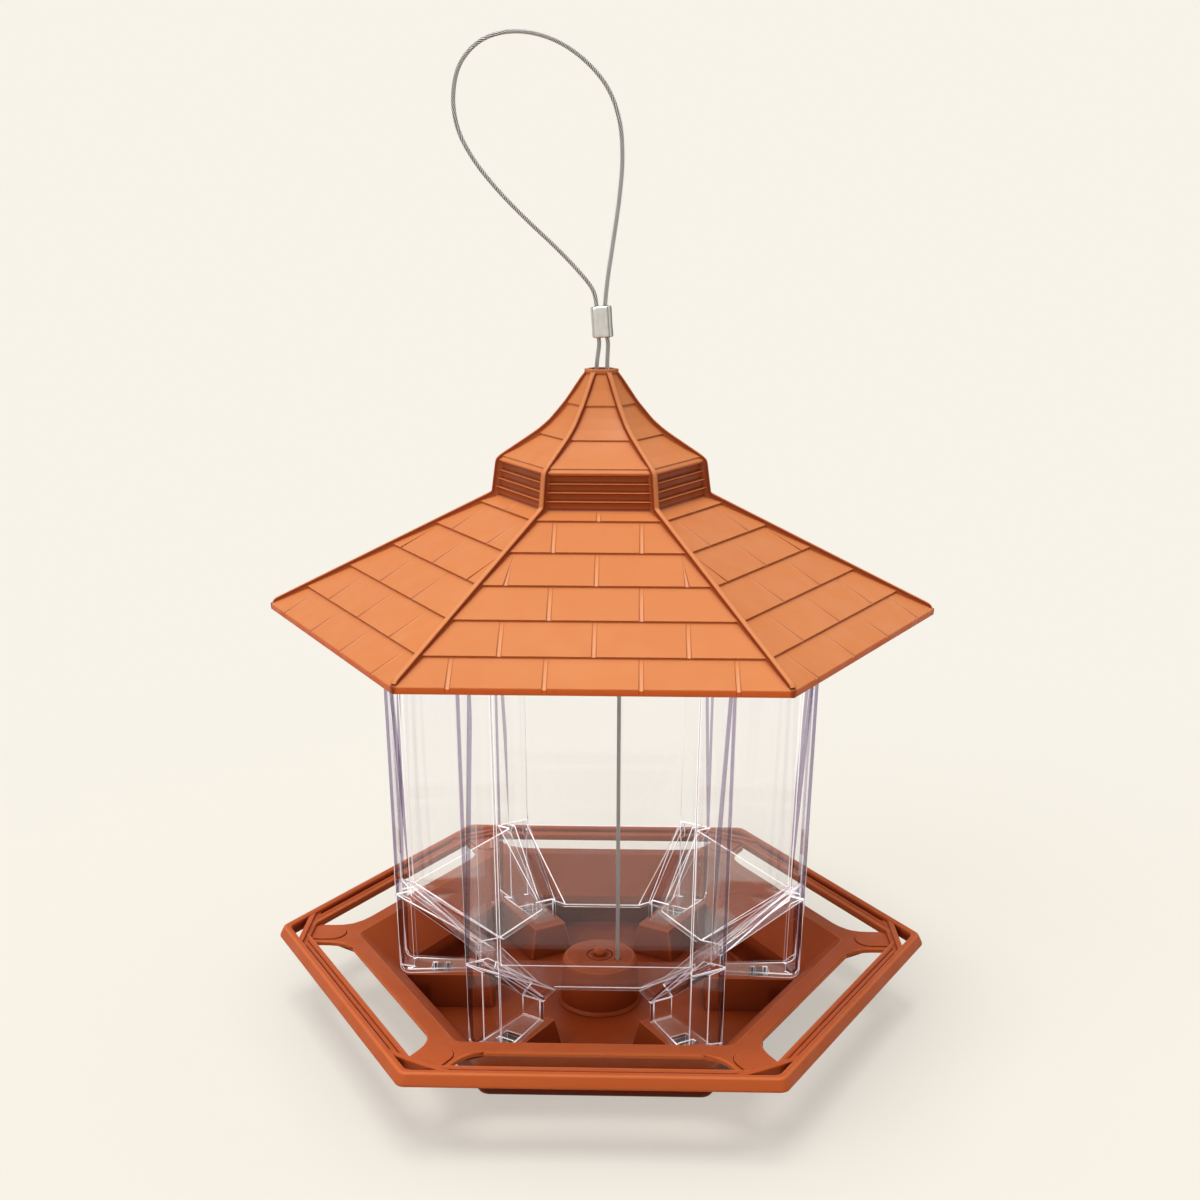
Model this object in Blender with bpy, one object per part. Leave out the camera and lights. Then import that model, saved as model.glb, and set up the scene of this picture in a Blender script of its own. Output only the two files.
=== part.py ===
# Hexagonal hanging bird feeder: roof, clear seed hopper, seed tray, perch ring and wire rope.
# Lengths are written in millimetres and turned into metres where a mesh is made.
# The base of the tray is at z = 0, the axis is the Z axis, corners of the hexagons lie on +X and -X.
# An apothem is the distance from the axis to a flat side, a radius the distance to a corner.

from math import cos, radians, sin, sqrt, tan

import bmesh
import bpy
from mathutils import Matrix, Vector

MM = 0.001
COS30 = cos(radians(30))
GAP = 0.3                      # clearance between pieces that touch

# Seed tray
RIM_OUTER = 93.0               # apothem of the tray; the hopper and the perch ring follow it
RIM_WIDTH = 7.0
RIM_Z = 30.0
BOWL_SLOPE = 13.5              # from the rim inward to the ledge
FLOOR_INSET = 3.0
BASE_INSET = 0.5
FLOOR_TOP_Z = 2.5
TRAY_WALL = 2.2
TRAY_CORNER = 4.0
BLOCK_TOP_Z = 15.5
BLOCK_HALF_TOP = 7.5
BLOCK_HALF_FOOT = 10.5
BLOCK_LEAN = 2.4               # how far the inner end of a block leans outward over its height
BLOCK_WALL = 2.0
BLOCK_NOSE = 19.0              # from the slot inward to the end of the block
SLOT_SET_BACK = 12.9           # from the post inward to the slot
SLOT_LENGTH = 8.0
SLOT_HALF = 3.8
BOSS_RISE = 6.5                # boss above the blocks
BOSS_RADIUS = 15.6
BOSS_WALL = 2.5
BOSS_NIPPLE = (
    (5.7, 0.0), (5.4, -0.5), (4.9, -0.5), (4.6, 0.0), (2.9, 0.0), (2.7, 1.6), (2.0, 2.3), (0.8, 2.5),
)
ARM_RISE = 0.9                 # arms above the rim
ARM_THICK = 3.0
ARM_HALF = 8.0
ARM_FLARE = 15.0

# Perch ring
WINDOW_WIDTH = 12.6            # open gap between the tray's rim and the ring
SHELF_WIDTH = 5.0
SHELF_THICK = 1.6
RAIL_WIDTH = 3.0
RAIL_LEAN = 1.6                # how far the rail's foot stands out past its top
RAIL_HEIGHT = 4.7
RAIL_DROP = 1.5                # rail's foot below the rim
RAIL_CORNER = 4.0
BAR_SET_BACK = 5.1             # from the rail's inner corner to the bar across it
BAR_WIDTH = 4.1
BAR_DROP = 0.5
TONGUE_HALF = 6.0
TONGUE_LENGTH = 13.5
TONGUE_THICK = 1.5

# Hopper
HOPPER_WALL = 1.8
HOPPER_TAPER = 3.7             # how much wider the mouth is than the fold, each way
POST_TAPER = 4.0
LEG_CLEARANCE = 0.816          # between a leg and the corner of the tray's ledge
PANEL_SET_BACK = 2.893         # wide panels behind the corner posts
POST_HALF_WIDTH = 7.57
PANEL_END = 4.22               # half the opening between two wide panels at a corner
POST_END_STEP = 2.4            # how much narrower a post is inside than outside, at the panels
POST_WIDTH_STEP = 3.1          # the same at its outer face
CHUTE_RISE = 10.5              # foot of a chute above the blocks
CHUTE_HEIGHT = 25.0
CHUTE_SET_BACK = 4.1
CHUTE_END = 5.66
CHUTE_POST_HALF = 5.0
CHUTE_POST_DROP = 1.5
CHUTE_STEP = 1.9               # how much narrower the foot of a chute's post is inside than outside
LEG_DRAFT = 0.026              # inward lean of a leg, millimetres for each millimetre of drop
LEG_WALL = 1.6
FOOT_ROUND = 4.0
FOOT_NOSE = 6.4                # block left in front of the tongue
TONGUE_STEP = 0.6              # from the tongue outward to the foot of the chute's post
TONGUE_LAP = 1.4               # the tongue runs this far up into the post
HOOK_DEPTH = 7.0
HOOK_PLAY = 0.6                # between a hook prong and the end of its slot

# Roof
EAVE_APOTHEM = 112.6
EAVE_Z = 170.5
EAVE_LIP = 2.5
EAVE_LIP_WIDTH = 2.2
BAND_FOOT_APOTHEM = 36.2
BAND_RISE = 44.2               # foot of the slatted band above the eave
BAND_INSIDE = 32.8
ROOF_WALL = 2.2
COURSE_EDGE = 0.7              # thickness of a shingle course at its lower edge
COURSE_FIRST = 5.4             # slant length of the topmost course
COURSE_PITCH = 17.1
JOINT_PITCH = 31.3             # spacing of the upright joints in one course
JOINT_WIDTH = 1.3
JOINT_FLOOR = 0.6              # depth of a joint at the lower edge of its course
JOINT_MARGIN = 6.0             # plain strip beside a hip rib
SLATS = 4
SLAT_INSET = 1.2
SLAT_LIP = 0.35
SLAT_GROOVE = 0.5
RIB_HALF_WIDTH = 1.3
RIB_CHAMFER = 0.45
CAP_RISE = 48.1                # top of the cap above the foot of the band
CAP_APOTHEM = 5.6
CAP_HOLE_APOTHEM = 4.5
CAP_WALL = 3.6
COLLAR_WALL = 1.8
COLLAR_DEPTH = 4.0

# Cupola shingles as (apothem, height above the foot of the band) from the cap to the lip
CUPOLA_COURSES = (
    ((5.3, 46.2), (8.4, 40.5), (11.8, 35.2)),
    ((11.4, 34.7), (14.4, 30.6), (17.5, 26.9), (20.8, 23.6), (24.4, 20.9)),
    ((24.1, 20.3), (28.4, 17.5), (33.2, 14.9)),
    ((33.0, 14.4), (34.3, 13.5)),
)
CUPOLA_INSIDE = ((31.2, 13.7), (23.2, 19.0), (16.2, 25.7), (10.0, 33.9))
BAND_TOP = (34.3, 12.9)

# Top line of a hip rib on the cupola as (radius, height above the foot of the band, depth of the bar)
RIB_LINE = (
    (5.7, 47.8, 1.4),
    (8.0, 44.9, 2.1),
    (13.9, 36.1, 2.3),
    (19.9, 28.9, 2.3),
    (24.3, 25.1, 2.3),
    (29.1, 21.8, 2.4),
    (38.8, 15.3, 2.6),
)
BAND_RIB_TOP = (1.0, 0.6, 4.1)   # beyond the band's top corner: outward, upward, and depth of the bar
BAND_RIB_FOOT = (0.35, 1.8, 3.8)
BAND_RIB_TURN = (0.5, 1.0, 2.6)
RIB_STAND = 1.0                # ribs above the shingles at the eave
RIB_SET_BACK = 1.0             # ribs stop short of the eave's corner

# Wire rope and its fittings
ROPE = 1.7
RUN_X = 7.4
RUN_Y = -4.0
RUN_BEND = 47.8                # the straight run ends this far below the cap
RUN_CURVE = ((6.6, -3.4, 30.8), (3.4, -1.1, 10.8), (2.2, -0.2, 0.3))   # x, y and distance below the cap
TAIL_X = -2.2
TAIL_CURVE = ((-2.2, 0.0, 17.8), (-1.9, 0.0, 0.3))
STOP_LENGTH = 7.0
STOP_RADIUS = 2.6
STOP_REACH = 1.0               # rope past the end of a stop
FERRULE_X = 0.1
FERRULE_RISE = 17.3            # middle of the ferrule above the cap
FERRULE_LEAN = 4.0
FERRULE_LENGTH = 11.6
FERRULE_HALF_WIDTH = 3.95
FERRULE_HALF_DEPTH = 2.4
STRAND_OFFSET = 1.6
TAIL_STOP_DROP = 26.8          # foot of the tail stop below the top of the cap
TAIL_STOP_LENGTH = 6.0
TAIL_STOP_RADIUS = 2.3

# Hanging loop as (x, height above the middle of the ferrule)
LOOP_LINE = (
    (-3.4, 11.9), (-8.6, 18.5), (-17.2, 27.3), (-27.6, 36.9), (-38.2, 47.5), (-47.0, 58.3), (-52.6, 68.9),
    (-54.3, 80.3), (-51.6, 91.9), (-43.6, 100.1), (-32.0, 103.1), (-19.4, 100.9), (-8.0, 94.5), (1.4, 84.5),
    (6.2, 72.5), (7.4, 58.9), (6.3, 44.5), (4.2, 29.5), (2.2, 15.9),
)

# Sizes that follow from those above
RIM_INNER = RIM_OUTER - RIM_WIDTH
LEDGE_APOTHEM = RIM_INNER - BOWL_SLOPE
FLOOR_APOTHEM = LEDGE_APOTHEM - FLOOR_INSET
BASE_APOTHEM = LEDGE_APOTHEM - BASE_INSET
LEDGE_Z = BLOCK_TOP_Z - 0.2
BOSS_TOP_Z = BLOCK_TOP_Z + BOSS_RISE
ARM_TOP_Z = RIM_Z + ARM_RISE
RECESS_Z = ARM_TOP_Z - TONGUE_THICK
SHELF_INNER = RIM_OUTER + WINDOW_WIDTH
RAIL_TOP_INNER = SHELF_INNER + SHELF_WIDTH
RAIL_TOP_OUTER = RAIL_TOP_INNER + RAIL_WIDTH
RAIL_FOOT_APOTHEM = RAIL_TOP_OUTER + RAIL_LEAN
RAIL_FOOT_Z = RIM_Z - RAIL_DROP
RAIL_TOP_Z = RAIL_FOOT_Z + RAIL_HEIGHT
BAR_TOP_Z = RAIL_TOP_Z - BAR_DROP
BAR_OUTER = RAIL_TOP_INNER / COS30 - BAR_SET_BACK
BAR_INNER = BAR_OUTER - BAR_WIDTH
TONGUE_END = BAR_INNER - TONGUE_LENGTH
POST_RADIUS = LEDGE_APOTHEM / COS30 - LEG_CLEARANCE
POST_TOP_RADIUS = POST_RADIUS + POST_TAPER
FOLD_APOTHEM = POST_RADIUS * COS30 - PANEL_SET_BACK
HOPPER_TOP_APOTHEM = FOLD_APOTHEM + HOPPER_TAPER
SLOT_OUTER = POST_RADIUS - SLOT_SET_BACK
SLOT_INNER = SLOT_OUTER - SLOT_LENGTH
BLOCK_INNER = SLOT_INNER - BLOCK_NOSE
TONGUE_RADIUS = BLOCK_INNER + FOOT_NOSE
CHUTE_POST_RADIUS = TONGUE_RADIUS + TONGUE_STEP
CHUTE_APOTHEM = CHUTE_POST_RADIUS * COS30 - CHUTE_SET_BACK
CHUTE_Z = BLOCK_TOP_Z + CHUTE_RISE
CHUTE_POST_Z = CHUTE_Z - CHUTE_POST_DROP
FOLD_Z = CHUTE_Z + CHUTE_HEIGHT
FOOT_Z = BLOCK_TOP_Z + GAP
EAVE_CORNER = EAVE_APOTHEM / COS30
BAND_FOOT_Z = EAVE_Z + BAND_RISE
CAP_TOP_Z = BAND_FOOT_Z + CAP_RISE
FERRULE_Z = CAP_TOP_Z + FERRULE_RISE
TAIL_STOP_Z = CAP_TOP_Z - TAIL_STOP_DROP
BORE_RADIUS = ROPE / 2 + GAP

for item in list(bpy.data.objects):
    bpy.data.objects.remove(item)


def material(name, colour, roughness, metallic=0.0, clear=0.0):
    made = bpy.data.materials.new(name)
    made.use_nodes = True
    shader = made.node_tree.nodes["Principled BSDF"]
    shader.inputs["Base Color"].default_value = (*colour, 1.0)
    shader.inputs["Roughness"].default_value = roughness
    shader.inputs["Metallic"].default_value = metallic
    shader.inputs["Transmission Weight"].default_value = clear
    shader.inputs["IOR"].default_value = 1.49
    made.diffuse_color = (*colour, 1.0)
    return made


# Shapes: a shape is a list of points in millimetres and a list of faces

def loft(rings, closed=False):
    """Skin through rings with equal point counts: closed joins last to first, else both ends are capped."""
    count = len(rings[0])
    points = [point for ring in rings for point in ring]
    last = len(rings) if closed else len(rings) - 1
    faces = []
    for row in range(last):
        here = row * count
        there = ((row + 1) % len(rings)) * count
        for k in range(count):
            nxt = (k + 1) % count
            faces.append((here + k, here + nxt, there + nxt, there + k))
    if not closed:
        faces.append(tuple(range(count)))
        faces.append(tuple(range((len(rings) - 1) * count, len(rings) * count)))
    return points, faces


def hex_ring(apothem, z, corner=0.0, steps=0):
    """Hexagon at one height; a corner radius needs steps of one or more."""
    ring = []
    for k in range(6):
        turn_by = radians(60 * k)
        centre = (apothem - corner) / COS30
        for step in range(steps + 1):
            swing = radians(-30 + 60 * step / steps) if steps else 0.0
            x = centre * cos(turn_by) + corner * cos(turn_by + swing)
            y = centre * sin(turn_by) + corner * sin(turn_by + swing)
            ring.append((x, y, z))
    return ring


def hex_loft(profile, closed, corner=0.0, steps=0):
    return loft([hex_ring(apothem, z, corner, steps) for apothem, z in profile], closed)


def lathe(profile, segments, closed=False, centre=(0.0, 0.0)):
    rings = []
    for radius, z in profile:
        ring = []
        for k in range(segments):
            angle = radians(360 * k / segments)
            ring.append((centre[0] + radius * cos(angle), centre[1] + radius * sin(angle), z))
        rings.append(ring)
    return loft(rings, closed)


def prism(outline, z_low, z_high):
    return loft([[(x, y, z_low) for x, y in outline], [(x, y, z_high) for x, y in outline]])


def box(x_low, x_high, y_half, z_low, z_high):
    return prism([(x_low, -y_half), (x_high, -y_half), (x_high, y_half), (x_low, y_half)], z_low, z_high)


def turned(shape, degrees):
    points, faces = shape
    c = cos(radians(degrees))
    s = sin(radians(degrees))
    return [(x * c - y * s, x * s + y * c, z) for x, y, z in points], faces


def gathered(shapes):
    """Several separate shapes as one list of points and faces."""
    points = []
    faces = []
    for more_points, more_faces in shapes:
        start = len(points)
        points += more_points
        faces += [tuple(start + k for k in face) for face in more_faces]
    return points, faces


def six(shape):
    return gathered([turned(shape, 60 * k) for k in range(6)])


def solid(name, shape, surface=None):
    points, faces = shape
    mesh = bpy.data.meshes.new(name)
    mesh.from_pydata([(x * MM, y * MM, z * MM) for x, y, z in points], [], faces)
    work = bmesh.new()
    work.from_mesh(mesh)
    bmesh.ops.recalc_face_normals(work, faces=work.faces)
    work.to_mesh(mesh)
    work.free()
    made = bpy.data.objects.new(name, mesh)
    bpy.context.scene.collection.objects.link(made)
    if surface:
        mesh.materials.append(surface)
    return made


def combine(target, shape, operation):
    """Unite a shape with an object, or take it away from it."""
    tool = solid("tool", shape)
    step = target.modifiers.new("step", "BOOLEAN")
    step.operation = operation
    step.solver = "EXACT"
    step.object = tool
    graph = bpy.context.evaluated_depsgraph_get()
    result = bpy.data.meshes.new_from_object(target.evaluated_get(graph))
    target.modifiers.clear()
    spent = target.data
    target.data = result
    bpy.data.meshes.remove(spent)
    bpy.data.objects.remove(tool)


def unite(target, shape):
    combine(target, shape, "UNION")


def cut(target, shape):
    combine(target, shape, "DIFFERENCE")


def tidy(target, smooth_angle=0.0):
    """Merge doubled points, drop slivers and shade."""
    work = bmesh.new()
    work.from_mesh(target.data)
    bmesh.ops.remove_doubles(work, verts=work.verts, dist=0.002 * MM)
    bmesh.ops.dissolve_degenerate(work, edges=work.edges, dist=0.002 * MM)
    bmesh.ops.recalc_face_normals(work, faces=work.faces)
    work.to_mesh(target.data)
    work.free()
    if smooth_angle:
        target.data.shade_smooth()
        target.data.set_sharp_from_angle(angle=radians(smooth_angle))


def smooth_line(knots, spacing):
    """Points at even spacing along a smooth curve through the knots (millimetres)."""
    knots = [Vector(knot) for knot in knots]
    ends = [2 * knots[0] - knots[1]] + knots + [2 * knots[-1] - knots[-2]]
    fine = []
    for k in range(len(knots) - 1):
        a, b, c, d = ends[k:k + 4]
        for step in range(24):
            t = step / 24
            drift = (c - a) * t + (2 * a - 5 * b + 4 * c - d) * t * t + (3 * b - a - 3 * c + d) * t ** 3
            fine.append(b + drift / 2)
    fine.append(knots[-1])
    run = [0.0]
    for before, after in zip(fine, fine[1:]):
        run.append(run[-1] + (after - before).length)
    count = round(run[-1] / spacing)
    line = []
    place = 0
    for k in range(count + 1):
        goal = run[-1] * k / count
        while place < len(fine) - 2 and run[place + 1] < goal:
            place += 1
        share = (goal - run[place]) / (run[place + 1] - run[place])
        line.append(fine[place].lerp(fine[place + 1], min(1.0, share)))
    return line


def rope(name, line, surface):
    curve = bpy.data.curves.new(name, "CURVE")
    curve.dimensions = "3D"
    curve.bevel_depth = ROPE / 2 * MM
    curve.bevel_resolution = 2
    curve.use_fill_caps = True
    spline = curve.splines.new("POLY")
    spline.points.add(len(line) - 1)
    for spot, point in zip(spline.points, line):
        spot.co = (point.x * MM, point.y * MM, point.z * MM, 1.0)
    curve.materials.append(surface)
    made = bpy.data.objects.new(name, curve)
    bpy.context.scene.collection.objects.link(made)
    return made


terracotta = material("terracotta_plastic", (0.60, 0.17, 0.055), 0.42)
tray_colour = material("terracotta_plastic_tray", (0.50, 0.12, 0.035), 0.42)
ring_colour = material("terracotta_plastic_ring", (0.52, 0.13, 0.038), 0.42)
clear_plastic = material("clear_plastic", (0.90, 0.93, 0.95), 0.04, clear=1.0)
wire = material("galvanised_wire", (0.42, 0.43, 0.45), 0.35, metallic=1.0)
aluminium = material("aluminium_sleeve", (0.72, 0.73, 0.74), 0.28, metallic=1.0)


# Roof shell: one hexagonal profile down the outside and up the inside

ROOF_SLOPE = BAND_RISE / (EAVE_APOTHEM - BAND_FOOT_APOTHEM)
SLANT = sqrt((EAVE_APOTHEM - BAND_FOOT_APOTHEM) ** 2 + BAND_RISE ** 2)
DOWN = ((EAVE_APOTHEM - BAND_FOOT_APOTHEM) / SLANT, -BAND_RISE / SLANT)
OUT = (-DOWN[1], DOWN[0])
UNDERSIDE_DROP = ROOF_WALL / DOWN[0]


def on_roof(slant, lift):
    """Apothem and height of a spot on a main roof face, lifted off the plane of the course edges."""
    apothem = BAND_FOOT_APOTHEM + DOWN[0] * slant + OUT[0] * lift
    return (apothem, BAND_FOOT_Z + DOWN[1] * slant + OUT[1] * lift)


def underside(apothem):
    return BAND_FOOT_Z - ROOF_SLOPE * (apothem - BAND_FOOT_APOTHEM) - UNDERSIDE_DROP


def on_cupola(line):
    """Cupola points with their heights counted from the base of the tray."""
    return [(apothem, BAND_FOOT_Z + rise) for apothem, rise in line]


course_edges = [COURSE_FIRST + COURSE_PITCH * k for k in range(5)] + [SLANT]
profile = [(CAP_HOLE_APOTHEM, CAP_TOP_Z), (CAP_APOTHEM - 0.4, CAP_TOP_Z), (CAP_APOTHEM, CAP_TOP_Z - 0.4)]
profile.append((CAP_APOTHEM, CAP_TOP_Z - 1.7))
for course in CUPOLA_COURSES:
    profile += on_cupola(course)
profile += on_cupola([BAND_TOP])
slat_top = profile[-1][1] - 0.2
slat_height = (slat_top - BAND_FOOT_Z) / SLATS
slat_step = (BAND_FOOT_APOTHEM - BAND_TOP[0] + 0.4) / SLATS
for k in range(SLATS):
    edge = BAND_TOP[0] - 0.4 + slat_step * k
    z = slat_top - slat_height * k
    profile.append((edge, z))
    profile.append((edge - SLAT_INSET * 0.25, z - SLAT_LIP))
    profile.append((edge - SLAT_INSET, z - slat_height + SLAT_GROOVE))
start = 0.0
for edge in course_edges:
    profile.append(on_roof(start, -COURSE_EDGE))
    profile.append(on_roof(edge, 0.0))
    start = edge
eave_inner = EAVE_APOTHEM - EAVE_LIP_WIDTH
profile.append((EAVE_APOTHEM - 0.2, EAVE_Z - EAVE_LIP))
profile.append((eave_inner, EAVE_Z - EAVE_LIP))
profile.append((eave_inner, underside(eave_inner)))
profile.append((BAND_INSIDE, underside(BAND_INSIDE)))
profile += on_cupola(CUPOLA_INSIDE)
profile.append((CAP_HOLE_APOTHEM, CAP_TOP_Z - CAP_WALL))
roof = solid("roof", hex_loft(profile, True), terracotta)

# Hip ribs swept from the cap to the eave corner
rib_line = [(radius, BAND_FOOT_Z + rise, depth) for radius, rise, depth in RIB_LINE]
band_foot = (BAND_FOOT_APOTHEM, 0.0)
band_ribs = ((BAND_TOP, BAND_RIB_TOP), (band_foot, BAND_RIB_FOOT), (band_foot, BAND_RIB_TURN))
for (apothem, level), (out, rise, depth) in band_ribs:
    rib_line.append((apothem / COS30 + out, BAND_FOOT_Z + level + rise, depth))
rib_line.append((EAVE_CORNER - RIB_SET_BACK - 1.0, EAVE_Z + RIB_STAND + 1.15, 2.4))
rib_line.append((EAVE_CORNER - RIB_SET_BACK, EAVE_Z + RIB_STAND - 0.1, 1.6))
rib_sections = []
for k, (radius, z, depth) in enumerate(rib_line):
    before = Vector(rib_line[max(k - 1, 0)][:2])
    after = Vector(rib_line[min(k + 1, len(rib_line) - 1)][:2])
    along = (after - before).normalized()
    normal = Vector((-along.y, along.x))
    if normal.x < 0:
        normal = -normal
    low = Vector((radius, z)) - normal * depth
    shoulder = Vector((radius, z)) - normal * RIB_CHAMFER
    crest = RIB_HALF_WIDTH - RIB_CHAMFER
    rib_sections.append([
        (low.x, -RIB_HALF_WIDTH, low.y), (shoulder.x, -RIB_HALF_WIDTH, shoulder.y), (radius, -crest, z),
        (radius, crest, z), (shoulder.x, RIB_HALF_WIDTH, shoulder.y), (low.x, RIB_HALF_WIDTH, low.y),
    ])
for k in range(6):
    unite(roof, turned(loft(rib_sections), 60 * k))

# Locating collar under the roof, inside the mouth of the hopper
hopper_top_z = underside(POST_TOP_RADIUS * COS30 + POST_HALF_WIDTH / 2) - GAP
collar_outer = HOPPER_TOP_APOTHEM - HOPPER_WALL - 2 * GAP
collar_inner = collar_outer - COLLAR_WALL
collar_foot = hopper_top_z - COLLAR_DEPTH
collar = [(collar_outer, collar_foot), (collar_outer, underside(collar_outer) + 1.0)]
collar += [(collar_inner, underside(collar_inner) + 1.0), (collar_inner, collar_foot)]
unite(roof, hex_loft(collar, True))

# Upright joints between shingles: shallow slots that fade out below the course above
joints = []
for row, edge in enumerate(course_edges):
    top = course_edges[row - 1] + 1.5 if row else 1.0
    shift = JOINT_PITCH / 2 if row % 2 else 0.0
    half_face = on_roof(edge, 0.0)[0] * tan(radians(30)) - JOINT_MARGIN
    for column in range(-3, 4):
        middle = shift + JOINT_PITCH * column
        if abs(middle) > half_face:
            continue
        corners = []
        for lift in (-JOINT_FLOOR, 2.0):
            a_top, z_top = on_roof(top, lift)
            a_low, z_low = on_roof(edge + 0.5, lift)
            left = middle - JOINT_WIDTH / 2
            right = middle + JOINT_WIDTH / 2
            corners.append([
                (a_top, left, z_top), (a_top, right, z_top), (a_low, right, z_low), (a_low, left, z_low),
            ])
        joints.append(loft(corners))
face_joints = gathered(joints)
cut(roof, gathered([turned(face_joints, 30 + 60 * k) for k in range(6)]))
tidy(roof)


# Hopper: wide panels, corner posts and chutes that fold in to the boss


def hopper_ring(apothem, panel_end, post, post_half, z, post_z):
    """Plan outline of the hopper at one level, four points to a corner."""
    x = (apothem - panel_end * 0.5) / COS30
    corner = [
        (x, -panel_end, z), (post, -post_half, post_z), (post, post_half, post_z), (x, panel_end, z),
    ]
    return [point for k in range(6) for point in turned((corner, ()), 60 * k)[0]]


chute_slope = (FOLD_Z - CHUTE_Z) / (FOLD_APOTHEM - CHUTE_APOTHEM)
chute_length = sqrt(1 + chute_slope ** 2)
inside_drop = HOPPER_WALL * chute_length - HOPPER_WALL * chute_slope
post_slope = (FOLD_Z - CHUTE_POST_Z) / (POST_RADIUS - CHUTE_POST_RADIUS)
post_length = sqrt(1 + post_slope ** 2)
post_drop = HOPPER_WALL * post_length - HOPPER_WALL * post_slope
shell = [
    hopper_ring(HOPPER_TOP_APOTHEM, PANEL_END, POST_TOP_RADIUS, POST_HALF_WIDTH, hopper_top_z, hopper_top_z),
    hopper_ring(FOLD_APOTHEM, PANEL_END, POST_RADIUS, POST_HALF_WIDTH, FOLD_Z, FOLD_Z),
    hopper_ring(CHUTE_APOTHEM, CHUTE_END, CHUTE_POST_RADIUS, CHUTE_POST_HALF, CHUTE_Z, CHUTE_POST_Z),
    hopper_ring(
        CHUTE_APOTHEM - HOPPER_WALL * chute_length / chute_slope, CHUTE_END - CHUTE_STEP,
        CHUTE_POST_RADIUS - HOPPER_WALL * post_length / post_slope, CHUTE_POST_HALF - CHUTE_STEP,
        CHUTE_Z, CHUTE_POST_Z,
    ),
    hopper_ring(FOLD_APOTHEM - HOPPER_WALL, PANEL_END - POST_END_STEP, POST_RADIUS - HOPPER_WALL,
                POST_HALF_WIDTH - POST_WIDTH_STEP, FOLD_Z + inside_drop, FOLD_Z + post_drop),
    hopper_ring(HOPPER_TOP_APOTHEM - HOPPER_WALL, PANEL_END - POST_END_STEP, POST_TOP_RADIUS - HOPPER_WALL,
                POST_HALF_WIDTH - POST_WIDTH_STEP, hopper_top_z, hopper_top_z),
]
hopper = solid("hopper", loft(shell, True), clear_plastic)

# One leg: web, foot plate and tongue in one bent strip, two flanges and two hook prongs
leg_top = FOLD_Z + 2.6
leg_x = POST_RADIUS - 0.1
foot_x = leg_x - LEG_DRAFT * (FOLD_Z - FOOT_Z)
outer_line = [(leg_x, leg_top)]
inner_line = [(leg_x - LEG_WALL, leg_top)]
bend_x = foot_x - FOOT_ROUND
bend_z = FOOT_Z + FOOT_ROUND
for step in range(5):
    angle = radians(22.5 * step)
    outer_line.append((bend_x + FOOT_ROUND * cos(angle), bend_z - FOOT_ROUND * sin(angle)))
    inner = FOOT_ROUND - LEG_WALL
    inner_line.append((bend_x + inner * cos(angle), bend_z - inner * sin(angle)))
tongue_inner = TONGUE_RADIUS + LEG_WALL
tongue_top = CHUTE_POST_Z + TONGUE_LAP
outer_line += [(TONGUE_RADIUS, FOOT_Z), (TONGUE_RADIUS, tongue_top)]
inner_line += [(tongue_inner, FOOT_Z + LEG_WALL), (tongue_inner, tongue_top)]


def strip_half(x):
    """Half width of the bent strip: the post's width outside, the tongue's width inside."""
    share = (x - CHUTE_POST_RADIUS) / (leg_x - CHUTE_POST_RADIUS)
    return CHUTE_POST_HALF + share * (POST_HALF_WIDTH - 0.1 - CHUTE_POST_HALF)


strip_sections = []
for (x_out, z_out), (x_in, z_in) in zip(outer_line, inner_line):
    half_out = strip_half(x_out)
    half_inner = strip_half(x_in) - 0.9
    strip_sections.append([
        (x_out, -half_out, z_out), (x_out, half_out, z_out),
        (x_in, half_inner, z_in), (x_in, -half_inner, z_in),
    ])
leg = solid("leg", loft(strip_sections))
panel_x = (FOLD_APOTHEM - PANEL_END * 0.5) / COS30
flange_plan = [
    (panel_x + 0.05, PANEL_END - 0.09), (leg_x - 0.5, POST_HALF_WIDTH - 0.45),
    (leg_x - 0.8, POST_HALF_WIDTH - 2.52), (panel_x + 0.85, PANEL_END - 1.48),
]
flange_sections = []
for z, tuck in ((leg_top, 0.0), (FOOT_Z + FOOT_ROUND, 0.0), (FOOT_Z + LEG_WALL / 2, 2.0)):
    lean_in = LEG_DRAFT * (leg_top - z)
    tucks = (0.0, tuck, tuck, 0.0)
    flange_sections.append([(x - lean_in - t, y - t * 0.2, z) for (x, y), t in zip(flange_plan, tucks)])
flange = loft(flange_sections)
unite(leg, flange)
unite(leg, ([(x, -y, z) for x, y, z in flange[0]], flange[1]))
hook_foot = BLOCK_TOP_Z - HOOK_DEPTH
for x_low in (SLOT_INNER + HOOK_PLAY, SLOT_OUTER - HOOK_PLAY - LEG_WALL):
    unite(leg, box(x_low, x_low + LEG_WALL, SLOT_HALF - 0.5, hook_foot, FOOT_Z + LEG_WALL / 2))
leg_shape = ([tuple(v.co / MM) for v in leg.data.vertices], [tuple(f.vertices) for f in leg.data.polygons])
bpy.data.objects.remove(leg)
unite(hopper, six(leg_shape))
tidy(hopper)


# Seed tray: bowl, radial divider blocks, central boss and corner arms

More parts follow.
